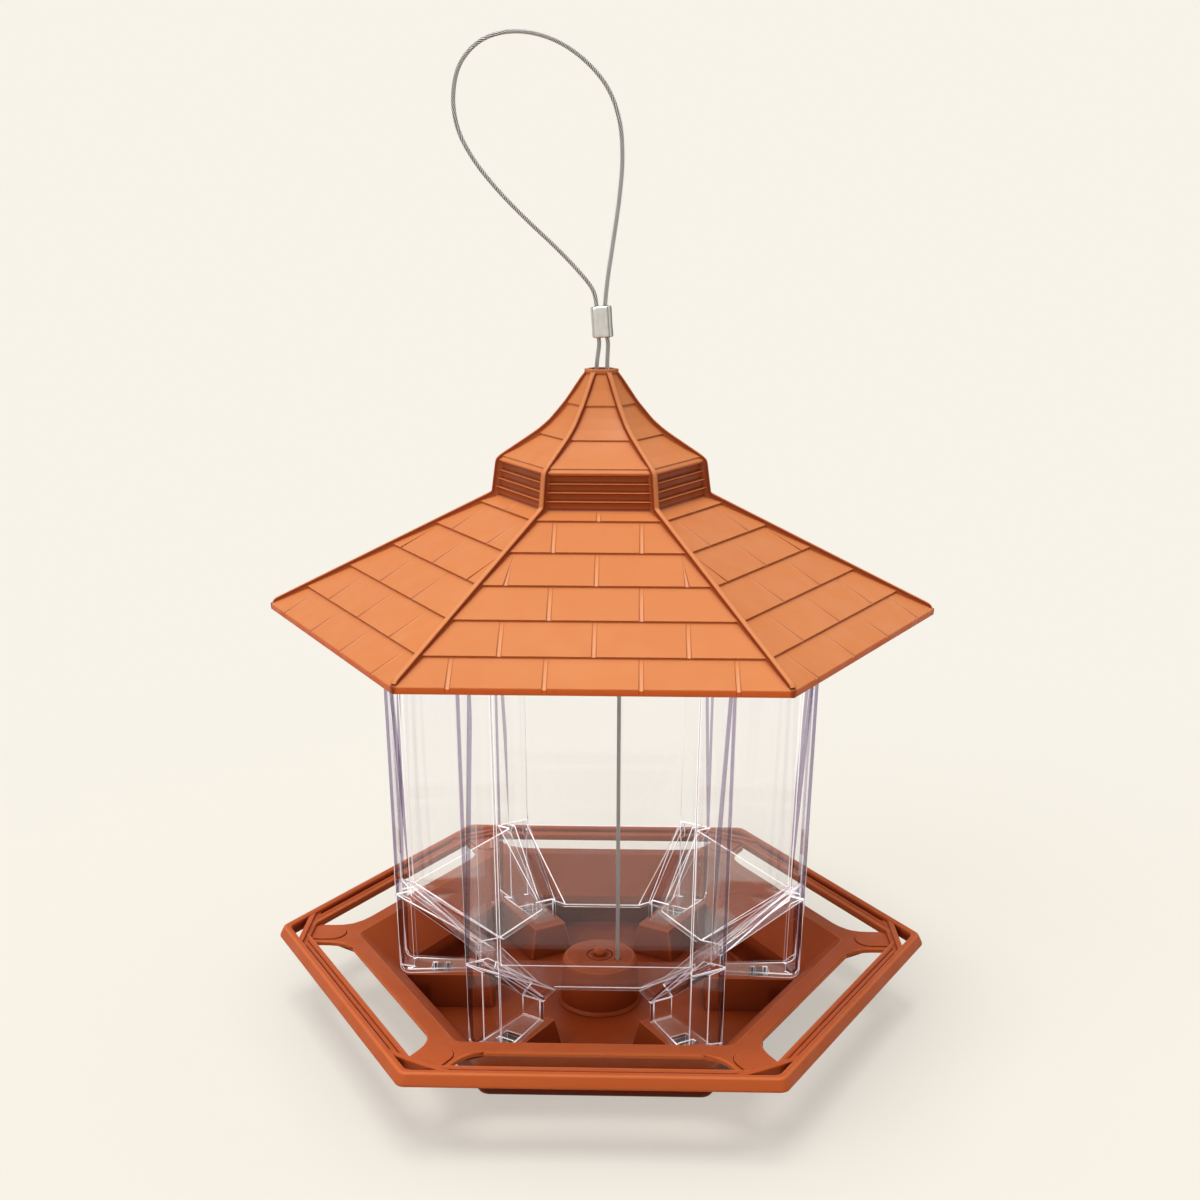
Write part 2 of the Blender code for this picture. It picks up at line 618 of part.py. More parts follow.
bowl = [
    (BASE_APOTHEM - 0.6, 0.0), (BASE_APOTHEM + 0.3, 0.35), (BASE_APOTHEM + 1.0, 1.4),
    (LEDGE_APOTHEM + TRAY_WALL, LEDGE_Z - 1.6), (RIM_INNER + 2.0, RIM_Z - TRAY_WALL),
    (RIM_OUTER - 0.3, RIM_Z - TRAY_WALL), (RIM_OUTER, RIM_Z - TRAY_WALL + 0.4), (RIM_OUTER, RIM_Z - 0.6),
    (RIM_OUTER - 0.6, RIM_Z), (RIM_INNER + 0.6, RIM_Z), (RIM_INNER, RIM_Z - 0.5),
    (LEDGE_APOTHEM, LEDGE_Z), (FLOOR_APOTHEM + 0.5, FLOOR_TOP_Z + 1.0), (FLOOR_APOTHEM - 0.6, FLOOR_TOP_Z),
]
tray = solid("seed_tray", hex_loft(bowl, False, TRAY_CORNER, 4), tray_colour)


def block(inner, half_foot, half_top, lean, foot_wall, top_wall, z_low, z_high):
    """Radial block with drafted sides whose outer end follows the bowl's corner at two given apothems."""
    sections = []
    ends = ((inner, half_foot, foot_wall, z_low), (inner + lean, half_top, top_wall, z_high))
    for x, half, wall, z in ends:
        side = (wall - half * 0.5) / COS30
        tip = wall / COS30
        sections.append([(x, -half, z), (side, -half, z), (tip, 0.0, z), (side, half, z), (x, half, z)])
    return loft(sections)


divider = block(
    BLOCK_INNER, BLOCK_HALF_FOOT, BLOCK_HALF_TOP, BLOCK_LEAN,
    FLOOR_APOTHEM + 1.4, LEDGE_APOTHEM + 1.2, 1.0, BLOCK_TOP_Z,
)
for k in range(6):
    unite(tray, turned(divider, 60 * k))

boss = [
    (BOSS_RADIUS + 1.6, 1.0), (BOSS_RADIUS + 1.6, FLOOR_TOP_Z + 0.3),
    (BOSS_RADIUS + 0.7, FLOOR_TOP_Z + 1.6),
    (BOSS_RADIUS, BOSS_TOP_Z - 3.2), (BOSS_RADIUS - 0.5, BOSS_TOP_Z - 1.2),
    (BOSS_RADIUS - 1.6, BOSS_TOP_Z - 0.2), (BOSS_RADIUS - 2.6, BOSS_TOP_Z),
]
# a shallow groove and a small nipple in the middle of the boss
boss += [(radius, BOSS_TOP_Z + rise) for radius, rise in BOSS_NIPPLE]
unite(tray, lathe(boss, 40))

# Corner arms with flared roots that carry the perch ring
flare_x = (RIM_OUTER - 0.5 + ARM_FLARE - (ARM_HALF + ARM_FLARE) * 0.5) / COS30
arm_end = BAR_INNER - GAP
shelf_line = SHELF_INNER - GAP
half_arm = [(arm_end, (shelf_line - arm_end * COS30) / 0.5)]
half_arm.append(((shelf_line - ARM_HALF * 0.5) / COS30, ARM_HALF))
for step in range(6):
    angle = radians(270 - 12 * step)
    half_arm.append((flare_x + ARM_FLARE * cos(angle), ARM_HALF + ARM_FLARE + ARM_FLARE * sin(angle)))
half_arm.append((half_arm[-1][0] - 3.0, half_arm[-1][1] - 1.0))
arm_plan = half_arm + [(x, -y) for x, y in reversed(half_arm)]
for k in range(6):
    unite(tray, turned(prism(arm_plan, ARM_TOP_Z - ARM_THICK, ARM_TOP_Z), 60 * k))


def tongue_plan(half, end, outer):
    """Strip with a half-round inner end."""
    plan = [(outer, half), (outer, -half)]
    for step in range(9):
        angle = radians(270 - 22.5 * step)
        plan.append((end + half + half * cos(angle), half * sin(angle)))
    return plan


recess = prism(tongue_plan(TONGUE_HALF + GAP, TONGUE_END - GAP, BAR_INNER + 3.0), RECESS_Z, ARM_TOP_Z + 2.0)
cut(tray, six(recess))
slot = box(SLOT_INNER, SLOT_OUTER, SLOT_HALF, BLOCK_TOP_Z - BLOCK_WALL - 1.0, BLOCK_TOP_Z + 1.0)
hollow = block(
    BLOCK_INNER + BLOCK_WALL, BLOCK_HALF_FOOT - BLOCK_WALL, BLOCK_HALF_TOP - BLOCK_WALL, BLOCK_LEAN,
    FLOOR_APOTHEM - BLOCK_WALL, LEDGE_APOTHEM - BLOCK_WALL, -1.0, BLOCK_TOP_Z - BLOCK_WALL,
)
cut(tray, six(hollow))
cut(tray, six(slot))
boss_inside = BOSS_RADIUS - BOSS_WALL
cut(tray, lathe([(boss_inside, -1.0), (boss_inside - 0.4, BOSS_TOP_Z - BOSS_WALL)], 40))
bore = [(BORE_RADIUS, BOSS_TOP_Z - 5.0), (BORE_RADIUS, BOSS_TOP_Z + 2.0)]
cut(tray, lathe(bore, 16, centre=(RUN_X, RUN_Y)))
tidy(tray, 32)


# Perch ring: rail, inner shelf on each side, corner bars and tongues

rail = [
    (RAIL_FOOT_APOTHEM, RAIL_FOOT_Z), (RAIL_FOOT_APOTHEM, RAIL_FOOT_Z + 0.8),
    (RAIL_TOP_OUTER, RAIL_TOP_Z - 0.5), (RAIL_TOP_OUTER - 0.7, RAIL_TOP_Z),
    (RAIL_TOP_INNER, RAIL_TOP_Z), (RAIL_TOP_INNER - 0.2, RAIL_FOOT_Z),
]
ring = solid("perch_ring", hex_loft(rail, True, RAIL_CORNER, 4), ring_colour)
shelf_outer = RAIL_TOP_INNER + 1.0
shelf_end = (BAR_INNER + BAR_OUTER) / 2
shelf_plan = []
for apothem, side in ((SHELF_INNER, 1), (shelf_outer, 1), (shelf_outer, -1), (SHELF_INNER, -1)):
    shelf_plan.append((apothem, side * (shelf_end - apothem * COS30) / 0.5))
for k in range(6):
    unite(ring, turned(prism(shelf_plan, RAIL_FOOT_Z + 0.1, RAIL_FOOT_Z + SHELF_THICK), 30 + 60 * k))
for k in range(6):
    bar_ends = [(x, (RAIL_TOP_INNER + 1.2 - x * COS30) / 0.5) for x in (BAR_INNER, BAR_OUTER)]
    bar_plan = bar_ends + [(x, -y) for x, y in reversed(bar_ends)]
    unite(ring, turned(prism(bar_plan, RAIL_FOOT_Z + 0.2, BAR_TOP_Z), 60 * k))
for k in range(6):
    tongue = prism(tongue_plan(TONGUE_HALF, TONGUE_END, BAR_INNER + 1.0), RECESS_Z + GAP, ARM_TOP_Z + 0.3)
    unite(ring, turned(tongue, 60 * k))
tidy(ring, 32)


# Wire rope: run, tail and hanging loop, with the ferrule and two crimped stops

def at_ferrule(x, z):
    """World place of a spot given in the leaning ferrule's own axes."""
    lean = Matrix.Rotation(-radians(FERRULE_LEAN), 3, "Y")
    return lean @ Vector((x, 0.0, z)) + Vector((FERRULE_X, 0.0, FERRULE_Z))


half_length = FERRULE_LENGTH / 2
stop_top = BOSS_TOP_Z - BOSS_WALL - GAP
run_foot = stop_top - STOP_LENGTH - STOP_REACH
run_bend = CAP_TOP_Z - RUN_BEND
run_knots = [(RUN_X, RUN_Y, run_foot + (run_bend - run_foot) * k / 5) for k in range(6)]
run_knots += [(x, y, CAP_TOP_Z - drop) for x, y, drop in RUN_CURVE]
run_knots.append(at_ferrule(STRAND_OFFSET + 0.1, -half_length - 3.0))
run_knots += [at_ferrule(STRAND_OFFSET, -half_length), at_ferrule(STRAND_OFFSET, -GAP / 2)]
rope("cable_run", smooth_line(run_knots, 4.2), wire)

tail_knots = [(TAIL_X, 0.0, TAIL_STOP_Z - STOP_REACH)]
tail_knots += [(x, y, CAP_TOP_Z - drop) for x, y, drop in TAIL_CURVE]
tail_knots.append(at_ferrule(-STRAND_OFFSET - 0.1, -half_length - 3.0))
tail_knots += [at_ferrule(-STRAND_OFFSET, -half_length), at_ferrule(-STRAND_OFFSET, -GAP / 2)]
rope("cable_tail", smooth_line(tail_knots, 3.6), wire)

loop_knots = [at_ferrule(-STRAND_OFFSET, GAP / 2), at_ferrule(-STRAND_OFFSET, half_length)]
loop_knots += [(x, 0.0, FERRULE_Z + rise) for x, rise in LOOP_LINE]
loop_knots += [at_ferrule(STRAND_OFFSET, half_length), at_ferrule(STRAND_OFFSET, GAP / 2)]
rope("cable_loop", smooth_line(loop_knots, 3.7), wire)


def stadium(straight, radius, z, steps=8):
    ring_points = []
    for side in (1, -1):
        for step in range(steps + 1):
            angle = radians(-90 + 180 * step / steps + (0 if side > 0 else 180))
            ring_points.append((side * straight + radius * cos(angle), radius * sin(angle), z))
    return ring_points


straight = FERRULE_HALF_WIDTH - FERRULE_HALF_DEPTH
sleeve = [
    stadium(straight, FERRULE_HALF_DEPTH - 0.4, -half_length),
    stadium(straight, FERRULE_HALF_DEPTH, -half_length + 0.5),
    stadium(straight, FERRULE_HALF_DEPTH, half_length - 0.5),
    stadium(straight, FERRULE_HALF_DEPTH - 0.4, half_length),
    stadium(STRAND_OFFSET, BORE_RADIUS, half_length),
    stadium(STRAND_OFFSET, BORE_RADIUS, -half_length),
]
ferrule = solid("cable_ferrule", loft(sleeve, True), aluminium)
ferrule.location = (FERRULE_X * MM, 0.0, FERRULE_Z * MM)
ferrule.rotation_euler = (0.0, -radians(FERRULE_LEAN), 0.0)
tidy(ferrule, 40)


def crimp_sleeve(name, x, y, z_low, length, radius):
    profile_line = [
        (radius - 0.4, z_low), (radius, z_low + 0.5),
        (radius, z_low + length - 0.5), (radius - 0.4, z_low + length),
        (BORE_RADIUS, z_low + length), (BORE_RADIUS, z_low),
    ]
    made = solid(name, lathe(profile_line, 24, True, (x, y)), aluminium)
    tidy(made, 40)


crimp_sleeve("cable_stop", RUN_X, RUN_Y, stop_top - STOP_LENGTH, STOP_LENGTH, STOP_RADIUS)
crimp_sleeve("tail_stop", TAIL_X, 0.0, TAIL_STOP_Z, TAIL_STOP_LENGTH, TAIL_STOP_RADIUS)
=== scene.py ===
from math import cos, pi, radians

import bmesh
import bpy
import numpy as np
from mathutils import Matrix, Vector


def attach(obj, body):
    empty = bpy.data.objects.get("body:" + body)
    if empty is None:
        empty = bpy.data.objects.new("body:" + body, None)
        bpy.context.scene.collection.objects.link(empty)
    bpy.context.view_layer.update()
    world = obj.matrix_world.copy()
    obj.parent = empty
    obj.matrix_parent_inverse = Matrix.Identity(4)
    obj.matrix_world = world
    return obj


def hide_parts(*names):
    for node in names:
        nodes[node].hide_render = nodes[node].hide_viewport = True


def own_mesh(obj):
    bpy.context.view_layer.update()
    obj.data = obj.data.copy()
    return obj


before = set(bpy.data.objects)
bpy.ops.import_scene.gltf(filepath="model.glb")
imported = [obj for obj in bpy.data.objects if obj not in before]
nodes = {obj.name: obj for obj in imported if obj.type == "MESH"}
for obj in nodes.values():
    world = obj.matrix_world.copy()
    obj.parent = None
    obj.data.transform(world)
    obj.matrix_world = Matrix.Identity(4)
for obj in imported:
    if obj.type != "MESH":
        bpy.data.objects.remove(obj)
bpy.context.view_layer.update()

mm = 0.001
corners = np.arange(6) * pi / 3      # directions of the hexagon's corners
slanted = cos(pi / 6)                # apothem over corner distance


# shared helpers: shapes


def asPiece(name, data):
    piece = bpy.data.objects.new(name, data)
    bpy.context.scene.collection.objects.link(piece)
    return piece


def asMesh(name, points, faces, rings=None, smooth=True):
    # points in millimetres; rings is the (around, along) pair of every corner of every face
    mesh = bpy.data.meshes.new(name)
    faces = faces if isinstance(faces, list) else faces.tolist()
    mesh.from_pydata(np.asarray(points, float) * mm, [], faces)
    if rings is not None:
        layer = mesh.uv_layers.new(name="wrap")
        layer.data.foreach_set("uv", np.asarray(rings, np.float32).ravel())
    mesh.shade_smooth() if smooth else mesh.shade_flat()
    return asPiece(name, mesh)


def gridFaces(rows, columns, closedRows=False):
    # quads between neighbouring rows, each row closed on itself
    lastRow = rows if closedRows else rows - 1
    row, column = np.meshgrid(np.arange(lastRow), np.arange(columns), indexing="ij")
    here, after = row * columns, (row + 1) % rows * columns
    right = (column + 1) % columns
    faces = np.stack([here + column, here + right, after + right, after + column], -1).reshape(-1, 4)
    around = np.stack([column, column + 1, column + 1, column], -1).reshape(-1) / columns
    along = np.stack([row, row, row + 1, row + 1], -1).reshape(-1) / max(1, rows - 1)
    return faces, np.stack([around, along], -1)


def joined(parts):
    # several (points, faces) as one list of points and one of faces
    points, faces = [], []
    for places, part in parts:
        start = sum(map(len, points))
        faces += [[corner + start for corner in face] for face in part]
        points.append(places)
    return np.vstack(points), faces


def turned(out, side, angle):
    # a point so far out and so far to the side, swung round the middle by the angle
    return out * np.cos(angle) - side * np.sin(angle), out * np.sin(angle) + side * np.cos(angle)


def smoothLine(knots, spacing):
    # Catmull-Rom curve through the knots, then points at even distances along it
    knots = np.asarray(knots, float)
    padded = np.vstack([2 * knots[0] - knots[1], knots, 2 * knots[-1] - knots[-2]])
    a, b, c, d = (padded[k:k + len(knots) - 1, None, :] for k in range(4))
    t = np.arange(24)[None, :, None] / 24
    fine = b + ((c - a) * t + (2 * a - 5 * b + 4 * c - d) * t ** 2 + (3 * b - a - 3 * c + d) * t ** 3) / 2
    fine = np.vstack([fine.reshape(-1, 3), knots[-1]])
    run = np.concatenate([[0.0], np.cumsum(np.linalg.norm(np.diff(fine, axis=0), axis=1))])
    places = np.linspace(0.0, run[-1], int(round(run[-1] / spacing)) + 1)
    return np.stack([np.interp(places, run, fine[:, k]) for k in range(3)], -1), run[-1]


def tubeFaces(rows, columns, copies=1):
    # quads along a tube of points for every copy of it, then a face over each end
    index = np.arange(columns)
    ends = np.stack([index, index + (rows - 1) * columns])
    starts = rows * columns * np.arange(copies)[:, None, None]
    parts = (gridFaces(rows, columns)[0], ends)
    return [face for part in parts for face in (part + starts).reshape(-1, part.shape[1]).tolist()]


def facesOutward(piece, merge=0.0, shortest=0.0):
    # points closer than merge are joined and edges below the shortest go, then faces turn outwards
    work = bmesh.new()
    work.from_mesh(piece.data)
    if merge:
        bmesh.ops.remove_doubles(work, verts=work.verts, dist=merge * mm)
        bmesh.ops.dissolve_degenerate(work, edges=work.edges, dist=shortest * mm)
    bmesh.ops.recalc_face_normals(work, faces=work.faces)
    work.to_mesh(piece.data)
    work.free()


def addLayer(piece, name, values):
    # one number for every point, which a material reads by name
    layer = piece.data.attributes.new(name, "FLOAT", "POINT")
    layer.data.foreach_set("value", values.astype(np.float32))


# shared helpers: materials


def feed(tree, socket, value):
    # an output is linked; a number or a colour is set
    if isinstance(value, bpy.types.NodeSocket):
        tree.links.new(value, socket)
    elif socket.type == "RGBA":
        socket.default_value = (*value, 1.0)
    else:
        socket.default_value = value


def addNode(tree, kind, inputs=None, **settings):
    made = tree.nodes.new(kind)
    for key, value in settings.items():
        setattr(made, key, value)
    for key, value in (inputs or {}).items():
        feed(tree, made.inputs[key], value)
    return made


def newMaterial(name):
    material = bpy.data.materials.new(name)
    material.use_nodes = True
    material.node_tree.nodes.clear()
    return material, material.node_tree


def shadedBy(tree, kind, inputs):
    # the material's one shader, straight to its surface
    shader = addNode(tree, kind, inputs).outputs[0]
    addNode(tree, "ShaderNodeOutputMaterial", {"Surface": shader})


def place(tree):
    return addNode(tree, "ShaderNodeTexCoord").outputs["Object"]


def layerValue(tree, name):
    return addNode(tree, "ShaderNodeAttribute", attribute_name=name).outputs["Fac"]


def split(tree, vector):
    return addNode(tree, "ShaderNodeSeparateXYZ", {0: vector}).outputs


def noise(tree, coordinates, scale, detail=2.0, rough=0.5, distortion=0.0):
    values = {"Scale": scale, "Detail": detail, "Roughness": rough, "Distortion": distortion}
    return addNode(tree, "ShaderNodeTexNoise", {"Vector": coordinates, **values}).outputs["Fac"]


def rescale(tree, value, low, high, fromLow=0.3, fromHigh=0.7, **settings):
    values = {"Value": value, "From Min": fromLow, "From Max": fromHigh, "To Min": low, "To Max": high}
    return addNode(tree, "ShaderNodeMapRange", values, **settings).outputs["Result"]


def across(tree, length, span, low, high, **settings):
    # from low to high while a length crosses the span, which is in millimetres
    return rescale(tree, length, low, high, span[0] * mm, span[1] * mm, **settings)


def blendColours(tree, factor, first, second, mode="MIX"):
    # first and second are colours or outputs; factor is a number or an output
    made = addNode(tree, "ShaderNodeMix", data_type="RGBA", blend_type=mode)
    sockets = [made.inputs[0]] + [socket for socket in made.inputs if socket.type == "RGBA"]
    for socket, value in zip(sockets, (factor, first, second)):
        feed(tree, socket, value)
    return [socket for socket in made.outputs if socket.type == "RGBA"][0]


def arithmetic(tree, operation, first, second=0.0):
    return addNode(tree, "ShaderNodeMath", {0: first, 1: second}, operation=operation).outputs[0]


def product(tree, first, second):
    return arithmetic(tree, "MULTIPLY", first, second)


def bumped(tree, height, strength, depth):
    values = {"Strength": strength, "Distance": depth * mm, "Height": height}
    return addNode(tree, "ShaderNodeBump", values).outputs["Normal"]


def mixShaders(tree, share, first, second):
    return addNode(tree, "ShaderNodeMixShader", {0: share, 1: first, 2: second}).outputs[0]


def addShaders(tree, first, second):
    return addNode(tree, "ShaderNodeAddShader", {0: first, 1: second}).outputs[0]


def heightAndReach(tree):
    # a spot's height and its distance from the feeder's axis
    level = addNode(tree, "ShaderNodeVectorMath", {0: place(tree), 1: (1.0, 1.0, 0.0)}, operation="MULTIPLY")
    spoke = addNode(tree, "ShaderNodeVectorMath", {0: level.outputs[0]}, operation="LENGTH")
    return split(tree, place(tree))["Z"], spoke.outputs["Value"]


def seenRay(tree):
    # 1 for what the camera sees, directly, in a reflection or through clear plastic;
    # 0 for light that falls on things
    path = addNode(tree, "ShaderNodeLightPath").outputs
    seen = arithmetic(tree, "MAXIMUM", path["Is Camera Ray"], path["Is Glossy Ray"])
    return arithmetic(tree, "MAXIMUM", seen, path["Is Transmission Ray"])


# camera: where the photograph was taken from

view = {
    "place": (13.55, -593.14, 316.3),
    "yaw": 1.34,
    "pitch": -13.6,
    "roll": -0.17,
    "lens": 46.81,
    "film": 36.0,
    "nearest": 10.0,
}


def makeCamera(s):
    # turn about Z, tip about X, roll about the line of sight, then stand the camera upright
    camera = asPiece("camera", bpy.data.cameras.new("camera"))
    camera.data.sensor_width = s["film"]
    camera.data.lens = s["lens"]
    camera.data.clip_start = s["nearest"] * mm
    turn = Matrix.Rotation(radians(s["yaw"]), 4, "Z") @ Matrix.Rotation(radians(s["pitch"]), 4, "X")
    turn = turn @ Matrix.Rotation(radians(s["roll"]), 4, "Y") @ Matrix.Rotation(pi / 2, 4, "X")
    camera.matrix_world = Matrix.Translation(Vector(s["place"]) * mm) @ turn
    bpy.context.scene.camera = camera


makeCamera(view)
print("camera in place")


# wire rope: run down to the tray, tail in the cupola and the hanging loop

rope = {
    "radius": 0.82,
    "strands": 6,
    "lay": 8.4,                      # length in which a strand goes once round
    "around": 36,                    # points round the rope
    "spacing": 0.5,                  # distance between rings of points
    # the run is straight from its foot to its bend; run and tail end inside the ferrule
    "runFoot": (7.4, -4.0, 11.2),
    "runBend": (7.4, -4.0, 215.0),
    "runTop": ((6.6, -3.4, 232.0), (3.4, -1.1, 252.0), (2.2, -0.2, 262.5)),
    "tail": ((-2.2, 0.0, 235.0), (-2.2, 0.0, 245.0), (-1.9, 0.0, 262.5)),
    # the loop's sideways place and its rise above the ferrule's middle
    "loop": (
        (-3.4, 11.9), (-8.6, 18.5), (-17.2, 27.3), (-27.6, 36.9), (-38.2, 47.5), (-47.0, 58.3), (-52.6, 68.9),
        (-54.3, 80.3), (-51.6, 91.9), (-43.6, 100.1), (-32.0, 103.05), (-19.4, 100.9), (-8.0, 94.5), (1.4, 84.5),
        (6.2, 72.5), (7.4, 58.9), (6.3, 44.5), (4.2, 29.5), (2.2, 15.9),
    ),
    "entry": (0.1, 3.0),             # how far aside of its hole and below the ferrule the rope straightens
    "gap": 0.15,                     # half the gap between two pieces of rope inside the ferrule
    "bright": (0.95, 0.95, 0.94),
    "dull": (0.74, 0.74, 0.74),
    # painted shade tone for the hollows between the strands
    "hollow": (0.05, 0.05, 0.05),
    "metallic": 0.2,
    "rough": (0.34, 0.52),
    "bloom": (420.0, 3.0),           # scale and detail of the cloudy zinc
    "bloomShare": 0.55,
    "hollowFade": (1.0, 0.0, -0.7, 0.55),      # share of the painted shade in the hollows between strands, then the cosines between
    "wires": (24.0, 9.0),            # fine wires seen going once round, and in one lay
    "wireBump": (0.5, 0.06),         # strength and depth, as for every bump here
}
ferrule = {
    "place": (0.1, 0.0, 280.1),
    "lean": 4.0,
    "length": 11.6,
    "halfWidth": 3.95,
    "halfDepth": 2.4,
    "squareness": 1.35,              # how soon the straight sides reach their full length
    # distance from either end, and how far the sleeve is drawn in there
    "profile": ((0.0, 0.5), (0.12, 0.22), (0.5, 0.0), (1.5, 0.0), (4.6, 0.07)),
    "strandOffset": 1.6,
    "bore": 1.15,
    "seam": (1.15, 0.22, 0.06),      # where the wrapped edge runs, its step and its softness
    "around": 96,
    "sharp": 38.0,
    "bright": (0.84, 0.83, 0.81),
    "shade": (0.66, 0.65, 0.64),
    # painted shade round the sleeve, darkest at its sides and along its folds, by the share of the way round from
    # its right side
    "shadeBands": (
        (0.001, 0.20), (0.05, 0.55), (0.45, 0.60), (0.52, 0.06), (0.57, 0.95), (0.60, 0.80), (0.62, 0.50),
        (0.66, 0.90), (0.79, 0.86), (0.82, 0.22), (0.84, 0.95), (0.88, 0.70), (0.93, 0.12), (0.999, 0.20),
    ),
    "metallic": 0.9,
    "rough": (0.42, 0.26),
    "streaks": (2600.0, 3.0, 0.06),  # scale, detail and how little they change along the sleeve
    "clouds": (330.0, 2.0),
    "streakShare": 0.6,              # the rest are clouds
    "brightFade": (0.0, 1.0, 0.35, 0.65),
    "streakBump": (0.35, 0.03),
}


def atFerrule(x, z):
    # a spot in the leaning ferrule's own axes, as a world place
    aside, up = turned(x, z, radians(ferrule["lean"]))
    return ferrule["place"][0] + aside, ferrule["place"][1], ferrule["place"][2] + up


def strandRadius(angle, s):
    # outline of round strands laid side by side about the middle: each strand is a circle a third
    # of the rope's radius wide, and the outline is its far side
    part = 2 * pi / s["strands"]
    local = np.mod(angle + part / 2, part) - part / 2
    small = s["radius"] / 3
    return 2 * small * np.cos(local) + np.sqrt(np.maximum(small ** 2 - (2 * small * np.sin(local)) ** 2, 0.0))


def makeRope(name, knots, s):
    # the strand outline is carried along the line and turned once in every lay length
    line, length = smoothLine(knots, s["spacing"])
    tangent = np.gradient(line, axis=0)
    tangent /= np.linalg.norm(tangent, axis=1)[:, None]
    side = np.cross(tangent, (0.0, 1.0, 0.0))
    side /= np.linalg.norm(side, axis=1)[:, None]
    other = np.cross(tangent, side)
    around = s["around"]
    angle = np.arange(around) / around * 2 * pi
    twist = np.linspace(0.0, length, len(line)) / s["lay"] * 2 * pi
    swing = (angle + twist[:, None])[..., None]
    outline = np.cos(swing) * side[:, None] + np.sin(swing) * other[:, None]
    rings = line[:, None] + strandRadius(angle, s)[:, None] * outline
    faces, wrap = gridFaces(len(line), around)
    wrap = wrap.reshape(-1, 4, 2)[:, ::-1].reshape(-1, 2) * (1.0, length / s["lay"])
    # each end is closed by a fan about a point on the line
    index = np.arange(around)
    following, end = (index + 1) % around, len(line) * around
    near = np.stack([index, following, 0 * index + end], -1)
    far = np.stack([following + end - around, index + end - around, 0 * index + end + 1], -1)
    points = np.vstack([rings.reshape(-1, 3), line[:1], line[-1:]])
    allFaces = faces[:, ::-1].tolist() + near.tolist() + far.tolist()
    return asMesh(name, points, allFaces, np.vstack([wrap, np.zeros((6 * around, 2))])), line, length


def wireMaterial(s):
    # fine wires run along each strand, with painted shade in the hollows between the strands and a patchy zinc
    # bloom
    material, tree = newMaterial("galvanised wire rope")
    wrap = split(tree, addNode(tree, "ShaderNodeUVMap", uv_map="wrap").outputs["UV"])
    inRound, inLay = s["wires"]
    count = arithmetic(tree, "ADD", product(tree, wrap["Y"], inLay), product(tree, wrap["X"], inRound))
    wires = arithmetic(tree, "SINE", product(tree, count, 2 * pi))
    hollow = arithmetic(tree, "COSINE", product(tree, wrap["X"], 2 * pi * s["strands"]))
    bloom = noise(tree, place(tree), *s["bloom"])
    tone = blendColours(tree, rescale(tree, bloom, 0.0, s["bloomShare"]), s["bright"], s["dull"])
    # painted shade: the hollows between the strands are darkened
    tone = blendColours(tree, rescale(tree, hollow, *s["hollowFade"]), tone, s["hollow"])
    shadedBy(tree, "ShaderNodeBsdfPrincipled", {
        "Base Color": tone, "Roughness": rescale(tree, bloom, *s["rough"]), "Metallic": s["metallic"],
        "Normal": bumped(tree, wires, *s["wireBump"]),
    })
    return material


def makeRopes(s):
    half = ferrule["length"] / 2
    reach = ferrule["strandOffset"]

    def intoFerrule(side):
        aside, below = s["entry"]
        entry = atFerrule(side * (reach + aside), -half - below)
        return [entry, atFerrule(side * reach, -half), atFerrule(side * reach, -s["gap"])]

    run = [*np.linspace(s["runFoot"], s["runBend"], 6), *s["runTop"], *intoFerrule(1)]
    tail = [*s["tail"], *intoFerrule(-1)]
    loop = [atFerrule(-reach, s["gap"]), atFerrule(-reach, half)]
    loop += [(x, 0.0, ferrule["place"][2] + rise) for x, rise in s["loop"]]
    loop += [atFerrule(reach, half), atFerrule(reach, s["gap"])]
    finish = wireMaterial(s)
    for name, knots in (("cable_run", run), ("cable_tail", tail), ("cable_loop", loop)):
        piece, line, length = makeRope("wire_" + name[6:], knots, s)
        piece.data.materials.append(finish)
        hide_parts(name)
        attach(piece, "tray")
    # the last of the three is the loop
    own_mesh(piece)
    print("wire rope made, loop length", round(length, 1), "mm")


makeRopes(rope)


# ferrule: a flattened sleeve whose wrapped edge shows at the front


def makeFerrule(s):
    # outline: a stadium, two half circles joined by straight sides; its front left of the seam is
    # sunk by the sheet's thickness; the ends are rounded and the bore is a smaller stadium
    turn = np.arange(s["around"]) / s["around"] * 2 * pi
    half = s["length"] / 2
    flat = s["halfWidth"] - s["halfDepth"]
    rise, inset = np.array(s["profile"]).T
    z = np.concatenate([rise - half, half - rise[::-1]])[:, None]
    depth = s["halfDepth"] - np.concatenate([inset, inset[::-1]])[:, None]
    x = np.clip(s["halfWidth"] * s["squareness"] * np.cos(turn), -flat, flat)[None, :]
    seamAt, step, soft = s["seam"]
    left = 1 / (1 + np.exp(np.clip((x + 0 * z - seamAt) / soft, -40, 40)))
    front = np.clip(-np.sin(turn) * 3, 0, 1)
    outer = np.stack([x + depth * np.cos(turn), (depth - step * left * front) * np.sin(turn), z + 0 * x], -1)
    ends = np.array([half, -half])[:, None]
    boreX = s["strandOffset"] * np.clip(3 * np.cos(turn), -1, 1) + s["bore"] * np.cos(turn)
    inner = np.stack([boreX + 0 * ends, s["bore"] * np.sin(turn) + 0 * ends, ends + 0 * boreX], -1)
    points = np.concatenate([outer, inner]).reshape(-1, 3)
    points[:, 0], points[:, 2] = turned(points[:, 0], points[:, 2], radians(s["lean"]))
    faces, wrap = gridFaces(len(z) + 2, s["around"], closedRows=True)
    piece = asMesh("wrapped_ferrule", points + np.array(s["place"]), faces, wrap)
    piece.data.set_sharp_from_angle(angle=radians(s["sharp"]))
    return piece


